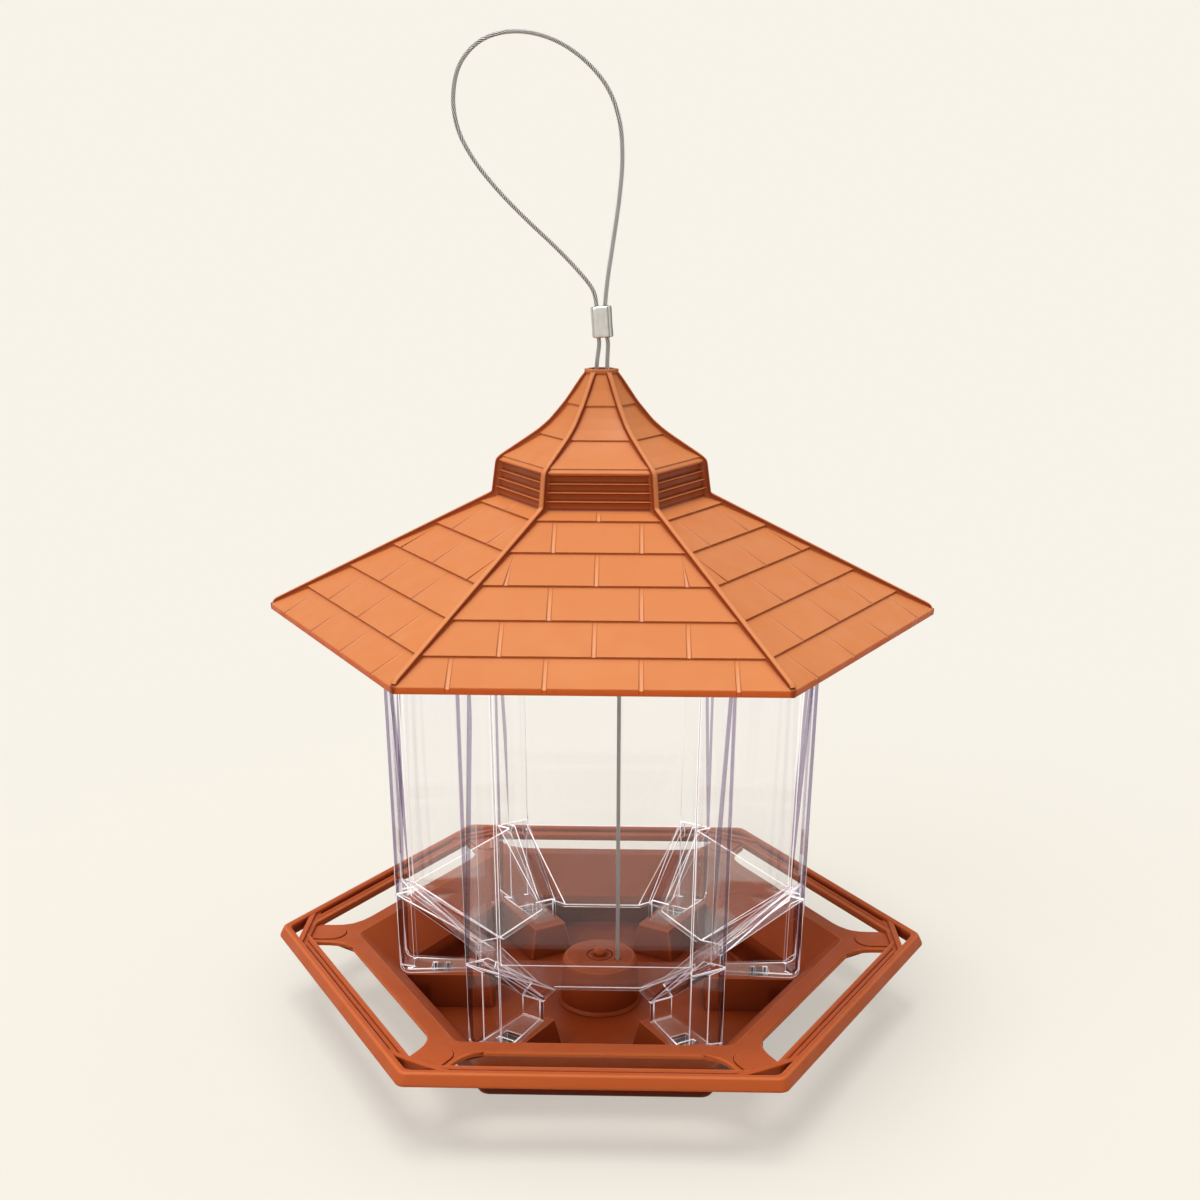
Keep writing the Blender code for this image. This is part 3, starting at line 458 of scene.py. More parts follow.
def ferruleMaterial(s):
    # drawn aluminium: faint streaks along the sleeve and soft cloudy dullness, with painted shade in bands round
    # it
    material, tree = newMaterial("satin aluminium")
    scale, detail, along = s["streaks"]
    stretch = addNode(tree, "ShaderNodeMapping", {"Vector": place(tree), "Scale": (1.0, 1.0, along)})
    streak = noise(tree, stretch.outputs["Vector"], scale, detail)
    cloud = noise(tree, place(tree), *s["clouds"])
    share = s["streakShare"]
    mixed = arithmetic(tree, "ADD", product(tree, streak, share), product(tree, cloud, 1 - share))
    tone = blendColours(tree, rescale(tree, mixed, *s["brightFade"]), s["shade"], s["bright"])
    wrap = split(tree, addNode(tree, "ShaderNodeUVMap", uv_map="wrap").outputs["UV"])
    # painted shade: bands round the sleeve darken its sides and its folds
    shadeBands = addNode(tree, "ShaderNodeValToRGB", {"Fac": wrap["X"]})
    stops = shadeBands.color_ramp.elements
    for where, level in s["shadeBands"]:
        stops.new(where).color = (level, level, level, 1.0)
    stops.remove(stops[-1])
    stops.remove(stops[0])
    shadedBy(tree, "ShaderNodeBsdfPrincipled", {
        "Base Color": blendColours(tree, 1.0, tone, shadeBands.outputs["Color"], "MULTIPLY"),
        "Roughness": rescale(tree, mixed, *s["rough"]), "Metallic": s["metallic"],
        "Normal": bumped(tree, streak, *s["streakBump"]),
    })
    return material


sleeve = makeFerrule(ferrule)
sleeveFinish = ferruleMaterial(ferrule)
sleeve.data.materials.append(sleeveFinish)
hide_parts("cable_ferrule")
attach(sleeve, "tray")
for stop in ("cable_stop", "tail_stop"):
    for slot in nodes[stop].material_slots:
        slot.material = sleeveFinish
print("ferrule and stops finished")


# moulded pieces: the CAD shape with its edges eased

moulding = {
    "nearest": 0.012,                # points of the CAD mesh closer than this merge
    "flat": 0.6,                     # neighbours that meet flatter than this, in degrees, become one face
    "sliver": 0.004,                 # points closer than this merge after the rounding
    "faceWeight": 60,                # how strongly broad faces hold their own shading
}
terracotta = {
    "rough": (0.40, 0.56),
    # scale, detail, roughness and distortion
    "drift": (16.0, 3.0, 0.5, 0.4),
    "cloud": (95.0, 3.0),
    "grain": (2100.0, 2.0, 0.6),
    "shares": (0.7, 0.25, 0.10),     # most of the shade in drifts and clouds, and of the fleck in the grain
    "fleck": (1.2, 0.01),            # a fleck is the colour times the first plus the second
    # share of the painted edge highlight, and the matches of the rounded normal with the true one between
    "edgeHighlightFade": (0.60, 0.0, 0.85, 0.995),
    "edgeRays": 6,
    "cornerRays": 8,
    "wide": 10.0,                    # painted crevice shade of more reach than this is left out on undersides
    "underside": (0.0, 1.0, -0.35, -0.12),     # how much stays, and how far faces look up between
    "grainBump": (0.10, 0.04),
}


def cleaned(piece, gap):
    # points closer than the gap merge and flat neighbours become one face
    work = bmesh.new()
    work.from_mesh(piece.data)
    bmesh.ops.remove_doubles(work, verts=work.verts, dist=gap * mm)
    bmesh.ops.dissolve_limit(work, angle_limit=radians(moulding["flat"]), verts=work.verts, edges=work.edges)
    work.to_mesh(piece.data)
    work.free()
    for mark in ("sharp_edge", "custom_normal"):
        if mark in piece.data.attributes:
            piece.data.attributes.remove(piece.data.attributes[mark])
    piece.data.shade_smooth()


def eased(node, name, s):
    # a merged copy of the CAD mesh; a narrow bevel will round the edges that are given a weight
    piece = asPiece(name, nodes[node].data.copy())
    cleaned(piece, moulding["nearest"])
    bevel = piece.modifiers.new("eased edges", "BEVEL")
    bevel.width = s["ease"] * mm
    bevel.segments = s["steps"]
    bevel.limit_method = "WEIGHT"
    bevel.material = 1
    bevel.use_clamp_overlap = False
    bevel.miter_outer = "MITER_SHARP"
    bevel.harden_normals = True
    weld = piece.modifiers.new("no slivers", "WELD")
    weld.merge_threshold = moulding["sliver"] * mm
    return piece


def evenShading(piece):
    # broad faces keep one even tone up to their rounded edges
    even = piece.modifiers.new("even faces", "WEIGHTED_NORMAL")
    even.keep_sharp = True
    even.weight = moulding["faceWeight"]


def plasticMaterial(name, piece, s):
    # injection-moulded plastic: slow drifts of tone and a fine spark-eroded grain, with painted shade in the
    # corners and creases and painted highlights on the rounded edges; the painted highlight tone also lies in the
    # joints between shingles
    # the tones: own colour, its darker random tone, the painted shade tone and the painted highlight tone
    colour, shade, paintedShadeTone, paintedHighlightTone = piece["tones"]
    edgeReach, edgeHighlightGain = piece["edge"]
    material, tree = newMaterial(name)
    drift, cloud, grain = (noise(tree, place(tree), *s[key]) for key in ("drift", "cloud", "grain"))
    driftShare, cloudShare, grainShare = s["shares"]
    gain, lift = s["fleck"]
    tone = blendColours(tree, rescale(tree, drift, 0.0, driftShare), colour, shade)
    tone = blendColours(tree, rescale(tree, cloud, 0.0, cloudShare), tone, shade)
    tone = blendColours(tree, layerValue(tree, "tile"), tone, shade)
    fleck = tuple(min(1.0, gain * c + lift) for c in colour)
    tone = blendColours(tree, rescale(tree, grain, 0.0, grainShare), tone, fleck)
    # painted highlight in the shingle joints, on the rib crests and along the ring's edges
    tone = blendColours(tree, layerValue(tree, "paintedHighlight"), tone, paintedHighlightTone)
    # painted tone on the eave lip: a more saturated orange for its shade, which runs onto the slope's last face as
    # a painted highlight line
    if "paintedLipTone" in piece:
        tone = blendColours(tree, layerValue(tree, "lip"), tone, piece["paintedLipTone"])
    # painted shade along the seams: joint walls, rib sides, hip strips, under the slats and eave lip, and on the
    # ring
    tone = blendColours(tree, layerValue(tree, "seam"), tone, paintedShadeTone)
    # a painted highlight on an edge shows where the normal of the rounded shape leaves that of the true one
    rounded = addNode(tree, "ShaderNodeBevel", {"Radius": edgeReach * mm}, samples=s["edgeRays"])
    normal = addNode(tree, "ShaderNodeNewGeometry").outputs["Normal"]
    normals = {0: rounded.outputs["Normal"], 1: normal}
    match = addNode(tree, "ShaderNodeVectorMath", normals, operation="DOT_PRODUCT")
    edge = rescale(tree, match.outputs["Value"], *s["edgeHighlightFade"])
    tone = blendColours(tree, edge, tone, tuple(min(1.0, edgeHighlightGain * c) for c in colour))
    # painted shade in crevices: reach, then how much of the shade tone comes in between two levels of openness
    for distance, most, shut, clear in piece["creviceShade"]:
        rays = {"samples": s["cornerRays"], "only_local": True}
        corner = addNode(tree, "ShaderNodeAmbientOcclusion", {"Distance": distance * mm}, **rays)
        amount = rescale(tree, corner.outputs["AO"], most, 0.0, shut, clear)
        if distance > s["wide"]:
            # the wide reach paints shade in the bowl, not on the faces under the rim
            amount = product(tree, amount, rescale(tree, split(tree, normal)["Z"], *s["underside"]))
        tone = blendColours(tree, amount, tone, paintedShadeTone)
    if "foot" in piece:
        # painted shade: the upright wall of the foot is darker
        heights, reaches, most = piece["foot"]
        z, spoke = heightAndReach(tree)
        low = across(tree, z, heights, most, 0.0)
        tone = blendColours(tree, product(tree, low, across(tree, spoke, reaches, 0.0, 1.0)), tone, paintedShadeTone)
    shadedBy(tree, "ShaderNodeBsdfPrincipled", {
        "Base Color": tone, "Roughness": rescale(tree, cloud, *s["rough"]),
        "Specular IOR Level": piece["shine"], "Normal": bumped(tree, grain, *s["grainBump"]),
    })
    return material


# roof: hexagonal skin with shingles and louvres, hip ribs and the locating collar

roof = {
    "eave": (112.6, 170.5),          # apothem and height
    "bandFoot": (36.2, 214.7),
    "wall": 2.2,
    "lip": (0.2, 2.2, 2.5),          # how far in its two faces stand below the eave, and how far down they go
    "soften": 0.32,                  # radius of the section's corners
    "courses": (5.4, 17.1),          # slant length of the first course, then of the others
    "courseEdge": 0.9,
    "jointPitch": 31.3,
    "jointWidth": 1.5,
    "jointDepth": 0.65,
    "jointMargin": 6.0,              # least distance of a joint's middle from the hip
    "jointSpread": (-0.3, -0.1, 0.1, 0.3),     # columns of points at either wall of a joint
    "jointSoft": 0.11,
    "jointBegin": (0.9, 0.5),        # where a joint begins below its course's edge, and how quickly
    "jointWallShade": 3.6,                # painted shade on a joint's walls
    "columns": (66.0, 13),           # reach and number of the other columns of points
    "beside": (0.0, 1.3, 1.6, 2.3),  # columns next to a hip
    "spare": 0.1,                    # between the last of these and the others
    "hipGap": 1.0,                   # least distance of a joint's walls from the hip
    "hipShade": (0.6, 0.7, 6.0),      # start and width of the painted shade strip by a rib, and where it ends at the top
    "tileShare": 0.35,               # most that shingles differ
    "capTop": 48.1,                  # above the louvres' foot
    # apothem, height from the cap's top and share of the painted shade
    "cap": ((4.5, 0.0, 0.3), (5.6, 0.0, 0.0), (5.6, -1.7, 0.3)),
    "capInside": (4.5, -3.6, 0.3),
    # apothem and height above the louvres' foot
    "cupola": (
        (5.3, 46.2), (8.4, 40.5), (11.8, 35.2), (11.4, 34.7), (14.4, 30.6), (17.5, 26.9), (20.9, 23.6),
        (20.5, 23.1), (24.3, 20.5), (28.4, 17.7), (33.2, 14.9), (33.0, 14.4), (34.3, 13.5), (34.3, 12.9),
    ),
    "cupolaInside": ((31.2, 13.7), (23.2, 19.0), (16.2, 25.7), (10.0, 33.9)),
    "hollowTop": 32.8,               # apothem where the hollow's slope ends
    # painted shade on the inner face of the eave lip
    "lipShade": 0.3,
    "slats": 4,
    "slatStart": (0.4, 0.2),         # in from and below the cupola's lowest edge
    # a slat's section: set back from its lip, share of its height, and share of the painted shade under the lip
    "slat": (
        (0.0, 0.0, 0.0), (0.05, 0.06, 0.0), (0.32, 0.11, 0.95), (0.55, 0.35, 0.72), (0.85, 0.80, 0.38),
        (0.98, 0.93, 0.95),
    ),
    # painted shade at the lower outer edge of the eave lip, doubled there
    "eaveShade": 0.10,
    # painted tone of the eave lip, more saturated for its shade
    "paintedLipTone": (0.93, 0.165, 0.028),
    # distance from the axis, height above the louvres' foot and depth below the crest
    "ribLine": (
        (5.7, 47.8, 1.4), (8.0, 44.9, 2.1), (13.9, 36.1, 2.3), (19.9, 28.9, 2.3), (24.3, 25.1, 2.3),
        (29.1, 21.8, 2.4), (38.8, 15.3, 2.6), (40.6, 13.5, 4.1), (42.15, 1.8, 3.8), (42.3, 1.0, 2.6),
        (128.0, -42.05, 2.4), (129.0, -43.3, 1.6),
    ),
    "ribBend": 1.6,
    "ribHalf": 1.15,
    # half of a rib's section, mirrored: place across, share of its depth and drop below the crest
    "ribSection": (
        (-1.0, 1.0, 0.0), (-1.0, 0.0, 0.70), (-0.93, 0.0, 0.34), (-0.72, 0.0, 0.10), (-0.38, 0.0, 0.02),
    ),
    "ribSideShade": (0.08, 0.3),          # drop at which the painted shade on a rib's sides begins, and over which it grows
    "crest": 0.22,                   # painted highlight on the top of a rib
    "collar": (70.2, 68.4, 183.1),   # outer and inner apothem, foot
    "collarInto": 1.6,               # the collar ends this far below the outer slope, inside the wall
    "collarSoften": 0.3,
    "gaps": (0.004, 0.003),          # points that merge, and edges that go
    "sharp": 42,
    "shine": 0.22,
    # reach and gain of the painted highlight on rounded edges
    "edge": (0.45, 1.15),
    "tones": ((0.712, 0.240, 0.073), (0.65, 0.200, 0.058), (0.26, 0.034, 0.005), (0.90, 0.42, 0.21)),
    "creviceShade": ((2.6, 0.85, 0.35, 0.95),),
}


def softCorners(points, before, after):
    # a corner becomes three points of a small curve tangent to both its sides: a place on either side,
    # and between them a quarter of both plus half the corner itself
    middle = 0.25 * before + 0.5 * points + 0.25 * after
    return np.stack([before, middle, after], 1).reshape(-1, points.shape[1])


def roundedLine(points, radius, most=0.42):
    # the curves of a closed line begin at the radius, or at most this share of a side, from its corners
    points = np.asarray(points, float)
    ends = []
    for step in (1, -1):
        side = np.roll(points, step, axis=0) - points
        reach = np.linalg.norm(side, axis=1)[:, None]
        ends.append(points + side / reach * np.minimum(radius, most * reach))
    return softCorners(points, *ends)


def roundedOpen(points, radius, most=0.3):
    # the same at the inner corners of an open line, with its ends kept
    inner = points[1:-1]
    ends = []
    for side in (points[:-2] - inner, points[2:] - inner):
        ends.append(inner + side * np.minimum(most, radius / np.linalg.norm(side[:, :2], axis=1))[:, None])
    return np.vstack([points[:1], softCorners(inner, *ends), points[-1:]])


def slopeHeight(a, s):
    # height of the plain outer slope over an apothem
    (eaveA, eaveZ), (footA, footZ) = s["eave"], s["bandFoot"]
    return footZ - (footZ - eaveZ) / (eaveA - footA) * (a - footA)


def roofSection(s, down, out, edges):
    # apothem, height and share of the painted shade from the cap down to the eave and back inside,
    # and where the shingles begin and end in it
    eaveA, eaveZ = s["eave"]
    footA, footZ = s["bandFoot"]
    drop = s["wall"] / down[0]
    capTop = footZ + s["capTop"]
    section = [(a, capTop + z, seam) for a, z, seam in s["cap"]]
    section += [(a, footZ + z, 0.0) for a, z in s["cupola"]]
    back, under = s["slatStart"]
    edge, top = section[-1][0] - back, section[-1][1] - under
    height, step = (top - footZ) / s["slats"], (footA - section[-1][0] + back) / s["slats"]
    for k in range(s["slats"]):
        for inset, share, seam in s["slat"]:
            section.append((edge + step * k - inset, top - height * k - height * share, seam))
    begin = len(section)
    for low, high in zip(edges, edges[1:]):
        section.append((*(s["bandFoot"] + down * low - out * s["courseEdge"]), 0.0))
        section.append((*(s["bandFoot"] + down * high), 0.0))
    end = len(section)
    outer, inner, lower = eaveA - s["lip"][0], eaveA - s["lip"][1], eaveZ - s["lip"][2]
    section += [(outer, lower, 2 * s["eaveShade"]), (inner, lower, s["lipShade"])]
    section.append((inner, slopeHeight(inner, s) - drop, s["lipShade"]))
    section.append((s["hollowTop"], slopeHeight(s["hollowTop"], s) - drop, 0.0))
    section += [(a, footZ + z, 0.0) for a, z in s["cupolaInside"]]
    a, z, seam = s["capInside"]
    return np.array(section + [(a, capTop + z, seam)]), begin, end


def roofSkin(s):
    # rows follow the roof's section; columns cross the six faces; joints press a soft-walled groove
    # into each course
    eaveA, eaveZ = s["eave"]
    footA, footZ = s["bandFoot"]
    slant = np.hypot(eaveA - footA, footZ - eaveZ)
    down = np.array([(eaveA - footA) / slant, (eaveZ - footZ) / slant])
    out = np.array([-down[1], down[0]])
    edges = np.concatenate([[0.0], s["courses"][0] + s["courses"][1] * np.arange(5), [slant]])
    section, begin, end = roofSection(s, down, out, edges)
    rows = roundedLine(section[:, :2], s["soften"])
    rowShade = np.repeat(section[:, 2], 3)
    index = np.arange(len(rows))
    # rows that take the painted lip tone: the last point of the eave's curve and the lip's outer face
    paintedLipRows = (index >= 3 * end - 1) & (index < 3 * end + 2)
    shingled = ((index >= 3 * begin) & (index < 3 * end))[:, None]

    # places across a face: the walls of the joints, an even spread and the strips beside the hips
    half, pitch = s["jointWidth"] / 2, s["jointPitch"]
    walls = (np.array([-half, half])[:, None] + s["jointSpread"]).ravel()
    spots = np.arange(-4, 5)[:, None] * pitch / 2
    reach, count = s["columns"]
    columns = np.unique(np.concatenate([(spots + walls).ravel(), np.linspace(-reach, reach, count)]))
    width = rows[:, :1] * np.tan(np.pi / 6)
    beside = np.array(s["beside"])
    edge = width - beside[-1] - s["spare"]
    u = np.concatenate([-width + beside, np.clip(columns[None, :], -edge, edge), width - beside[::-1]], 1)

    # the course of every row and how far down its course it lies
    relative = rows - np.array(s["bandFoot"])
    along, lift = relative @ down, relative @ out
    course = np.clip(np.searchsorted(edges, along + 1e-6) - 1, 0, len(edges) - 2)
    share = (along - edges[course]) / (edges[course + 1] - edges[course])
    tileLift = -s["courseEdge"] * (1 - np.clip(share, 0, 1))
    # joints stand one pitch apart and move by half a pitch from course to course. A joint's mask is
    # half of one minus tanh((distance from its middle - half its width) / softness)
    start = (course % 2)[:, None] * pitch / 2
    nearest = np.round((u - start) / pitch)
    offset = np.abs(u - start - nearest * pitch)
    inside = 0.5 - 0.5 * np.tanh((offset - half) / s["jointSoft"])
    middle = np.abs(nearest * pitch + start)
    lowerWidth = (footA + down[0] * edges[course + 1]) * np.tan(np.pi / 6) - s["jointMargin"]
    inside = inside * (middle < lowerWidth[:, None]) * (np.abs(u) < width - s["hipGap"])
    below, within = s["jointBegin"]
    opened = np.clip((along - edges[course] - below) / within, 0, 1)
    opened = (opened * opened * (3 - 2 * opened))[:, None]
    mask = inside * opened * shingled
    shift = mask * (np.minimum(lift, tileLift - s["jointDepth"]) - lift)[:, None]
    a, z = rows[:, :1] + shift * out[0], rows[:, 1:] + shift * out[1]

    x, y = turned(a[:, None], u[:, None], (pi / 6 + corners)[:, None])
    points = np.stack([x, y, z[:, None] + 0 * x], -1).reshape(-1, 3)
    faces = gridFaces(len(rows), 6 * u.shape[1], closedRows=True)[0]
    # a shingle's own share of the shade is the fraction of 43.7 sin(12.99 (7 course + 3.1 place) + 5.7 face)
    number = course[:, None] * 7.0 + np.floor((u - start) / pitch) * 3.1
    tile = np.sin(number[:, None, :] * 12.99 + np.arange(6)[None, :, None] * 5.7) * 43.7
    tile = (tile - np.floor(tile)) * s["tileShare"] * shingled[:, None]
    # painted shade: on the two walls of a joint, and on the strip of skin at the foot of a hip rib
    hipStart, hipWidth, hipTop = s["hipShade"]
    hip = np.clip((beside[-1] - hipStart - (width - np.abs(u))) / hipWidth, 0, 1) * (rows[:, :1] > hipTop)
    seam = np.maximum(np.maximum(s["jointWallShade"] * mask * (1 - mask), hip), rowShade[:, None])
    layers = {"paintedHighlight": (mask ** 4)[:, None], "seam": seam[:, None], "tile": tile, "lip": paintedLipRows[:, None, None]}
    layers = {name: np.broadcast_to(values, x.shape).reshape(-1) for name, values in layers.items()}
    return points, faces, layers


def roofRibs(s):
    # a rounded bar carried along the hip line, its foot buried in the skin
    stations = roundedOpen(np.array(s["ribLine"]) + (0.0, s["bandFoot"][1], 0.0), s["ribBend"])
    tangent = np.gradient(stations[:, :2], axis=0)
    tangent /= np.linalg.norm(tangent, axis=1)[:, None]
    normal = np.stack([-tangent[:, 1], tangent[:, 0]], -1)
    normal *= np.where(normal[:, :1] < 0, -1.0, 1.0)
    left = np.array(s["ribSection"])
    aside, sink, below = np.vstack([left, (0.0, 0.0, 0.0), left[::-1] * (-1, 1, 1)]).T
    depth = sink * stations[:, 2:] + below
    out = stations[:, :1] - normal[:, :1] * depth
    height = stations[:, 1:2] - normal[:, 1:] * depth
    x, y = turned(out, aside * s["ribHalf"], corners[:, None, None])
    points = np.stack([x, y, height + 0 * x], -1).reshape(-1, 3)
    least, span = s["ribSideShade"]
    seam = np.broadcast_to(np.clip((below - least) / span, 0, 1), x.shape).reshape(-1)
    return points, tubeFaces(*out.shape, copies=6), seam


def makeRoof(s):
    skin, skinFaces, layers = roofSkin(s)
    ribs, ribFaces, ribSideShade = roofRibs(s)
    outer, inner, foot = s["collar"]
    tops = [slopeHeight(a, s) - s["collarInto"] for a in (outer, inner)]
    section = roundedLine([(outer, foot), (outer, tops[0]), (inner, tops[1]), (inner, foot)], s["collarSoften"])
    reach = section[:, :1] / slanted
    collar = np.stack([reach * np.cos(corners), reach * np.sin(corners), section[:, 1:] + 0 * corners], -1)
    collar = collar.reshape(-1, 3)
    collarFaces = gridFaces(len(section), 6, closedRows=True)[0]
    piece = asMesh("shingled_roof", *joined([(skin, skinFaces), (ribs, ribFaces), (collar, collarFaces)]))
    # painted shade on a rib's sides, painted highlight on its crest
    onRibs = {"seam": ribSideShade, "paintedHighlight": np.where(ribSideShade > 0, 0.0, s["crest"])}
    for name, values in layers.items():
        addLayer(piece, name, np.concatenate([values, onRibs.get(name, 0 * ribSideShade), np.zeros(len(collar))]))
    facesOutward(piece, *s["gaps"])
    piece.data.set_sharp_from_angle(angle=radians(s["sharp"]))
    return piece


# seed tray: the CAD shape with its arms trimmed to the rim

tray = {
    "ease": 0.75,
    "steps": 3,
    "angle": 26,
    "rim": (86.0, 30.0, 0.03),       # apothem of its inner edge, its height, and how much is shaved off
    "rimSlant": (0.57, 0.5),         # run and drop of the slant inside the rim
    "ledge": (72.5, 15.3),           # where the bowl's slope begins
    "foot": ((10.0, 13.0), (69.0, 71.0), 0.8),     # heights, distances from the axis, share of the painted shade
    "corner": 4.0,
    "cornerSteps": 5,
    "lowest": 26.2,                  # the arms are cut down to here inside the bowl
    "cutter": (0.01, 140.0, 34.0),   # its inner and outer reach and its top
    "nearest": 0.06,                 # points closer than this merge after the cut
    "room": 0.42,                    # share of the shortest edge across that a rounding takes
    "across": 0.85,                  # edges that meet at a larger cosine run along
    "level": 0.01,                   # edges nearer the ground than this are under the foot
    "sharpInside": 70.0,             # under the foot, edges nearer the axis than this stay sharp
    "shine": 0.18,
    "edge": (0.5, 1.2),
    "tones": ((0.60, 0.120, 0.026), (0.52, 0.095, 0.019), (0.13, 0.012, 0.001), (0.6, 0.15, 0.04)),
    "creviceShade": ((2.6, 0.8, 0.35, 0.95), (38.0, 0.85, 0.38, 0.94)),
    "edgeHighlightTones": ((0.72, 0.172, 0.044), (0.64, 0.14, 0.033), (0.26, 0.03, 0.004), (0.6, 0.15, 0.04)),
}


def hexRows(line, corner, steps):
    # every (apothem, height) of the line becomes a hexagon with rounded corners
    swing = np.linspace(-pi / 6, pi / 6, steps)
    turn = corners[:, None]
    bend = np.minimum(corner, line[:, 0] * 0.5)[:, None, None]
    reach = (line[:, :1, None] - bend) / slanted
    x = (reach * np.cos(turn) + bend * np.cos(turn + swing)).reshape(len(line), -1)
    y = (reach * np.sin(turn) + bend * np.sin(turn + swing)).reshape(len(line), -1)
    return np.stack([x, y, line[:, 1:] + 0 * x], -1)


def trimArms(piece, s):
    # the corner arms are cut down flush with the rim, and along the bowl's own slope where they reach
    # over it, by a hexagonal solid with rounded corners; its outline is apothem and height
    rim, height, shave = s["rim"]
    run, drop = s["rimSlant"]
    near, far, top = s["cutter"]
    slope = (height - drop - s["ledge"][1]) / (rim - s["ledge"][0])
    inner = rim - (height - drop - s["lowest"]) / slope
    rows = hexRows(np.array([
        (near, top), (far, top), (far, height - shave), (rim + run, height - shave),
        (rim + shave, height - drop), (inner + shave, s["lowest"]), (near, s["lowest"]),
    ]), s["corner"], s["cornerSteps"])
    cutter = asMesh("cutter", rows.reshape(-1, 3), tubeFaces(*rows.shape[:2]), smooth=False)
    facesOutward(cutter)
    modifier = piece.modifiers.new("trim", "BOOLEAN")
    modifier.operation = "DIFFERENCE"
    modifier.solver = "EXACT"
    modifier.object = cutter
    for other in piece.modifiers:
        other.show_viewport = other == modifier
    trimmed = bpy.data.meshes.new_from_object(piece.evaluated_get(bpy.context.evaluated_depsgraph_get()))
    piece.modifiers.remove(modifier)
    for other in piece.modifiers:
        other.show_viewport = True
    piece.data = trimmed
    bpy.data.objects.remove(cutter)
    cleaned(piece, s["nearest"])


def direction(edge):
    return (edge.verts[1].co - edge.verts[0].co).normalized()


def roomForRounding(piece, s):
    # only outward edges are rounded, and less where the edges that meet them across are short
    work = bmesh.new()
    work.from_mesh(piece.data)
    weight = work.edges.layers.float.new("bevel_weight_edge")
    sharp = radians(s["angle"])
    for edge in work.edges:
        edge.smooth = edge.calc_face_angle(0.0) < sharp
        if len(edge.link_faces) != 2 or edge.calc_face_angle_signed(0.0) < sharp:
            continue
        underneath = max(abs(vert.co.z) for vert in edge.verts) < s["level"] * mm
        if underneath and edge.verts[0].co.length < s["sharpInside"] * mm:
            continue
        room = [
            other.calc_length() for vert in edge.verts for other in vert.link_edges
            if other != edge and abs(direction(other).dot(direction(edge))) < s["across"]
        ]
        edge[weight] = min(1.0, s["room"] * min(room, default=1.0) / (s["ease"] * mm))
        edge.smooth = True
    work.to_mesh(piece.data)
    work.free()


# perch ring: rail, shelves, corner bars and tongues

ring = {
    "corner": 4.0,
    "cornerSteps": 9,
    # sections as distance from the axis, height and share of the painted shade, below zero of the painted
    # highlight
    "rail": (
        (115.05, 28.5, 0.3), (115.2, 28.75, 0.0), (115.15, 29.5, 0.0), (114.0, 32.35, 0.0), (113.75, 32.8, -0.5),
        (113.3, 33.1, -0.5), (112.7, 33.2, 0.0), (111.9, 33.18, 0.0), (111.4, 33.0, -0.4), (111.05, 32.6, 0.0),
        (110.9, 32.1, 0.3), (110.55, 30.6, 0.9), (110.5, 28.7, 0.6), (110.75, 28.5, 0.6),
    ),
    "shelf": (
        (111.2, 28.7, 0.5), (111.2, 30.9, 0.9), (110.6, 30.9, 0.9), (110.2, 30.95, 0.8), (109.95, 31.3, 0.2),
        (109.7, 31.42, 0.0), (108.5, 31.45, 0.0), (108.25, 31.3, 0.4), (108.1, 31.1, 0.9), (107.9, 31.35, 0.3),
        (107.6, 31.65, 0.0), (107.1, 31.75, 0.0), (106.3, 31.75, -0.3), (105.85, 31.6, -0.8), (105.62, 31.2, -0.4),
        (105.6, 29.1, 0.1), (105.75, 28.75, 0.4), (106.1, 28.6, 0.5),
    ),
    "shelfEnd": 120.56,
    "bar": (
        (118.52, 28.8, 0.5), (118.5, 31.1, 0.1), (118.6, 31.4, 0.0), (118.9, 31.55, 0.0), (119.9, 31.6, 0.2),
        (120.1, 31.7, 0.7), (120.2, 32.3, 0.1), (120.45, 32.65, 0.0), (122.2, 32.65, 0.0), (122.52, 32.35, 0.0),
        (122.6, 31.9, 0.2), (122.6, 28.8, 0.6),
    ),
    "barEnd": 111.8,
    "tongue": (105.0, 119.5, 6.0),   # inner and outer end, half width
    # the tongue's edge: inset, height and share of the painted shade
    "tongueEdge": ((0.0, 29.7, 0.9), (0.0, 30.12, 0.6), (0.07, 30.27, 0.1), (0.25, 30.35, 0.0), (0.5, 30.36, 0.0)),
    "tongueSteps": 17,
    "sharp": 50,
    "shine": 0.20,
    "edge": (0.5, 1.2),
    "tones": ((0.60, 0.118, 0.026), (0.52, 0.095, 0.020), (0.20, 0.020, 0.002), (0.80, 0.22, 0.065)),
    "creviceShade": ((2.6, 0.85, 0.35, 0.95),),
}


def shells(section, end, turns):
    # a closed section of (distance from the axis, height) carried between two ends, once for every turn
    # about Z; its half length is 2 (end - cos 30 x distance), as the ends lie on planes 30 degrees off
    half = 2 * (end - section[:, 0] * slanted)
    side = np.array([-1.0, 1.0])[:, None] * half
    x, y = turned(section[:, 0], side, turns[:, None, None])
    return np.stack([x, y, section[:, 1] + 0 * x], -1).reshape(-1, 3), tubeFaces(2, len(section), copies=6)


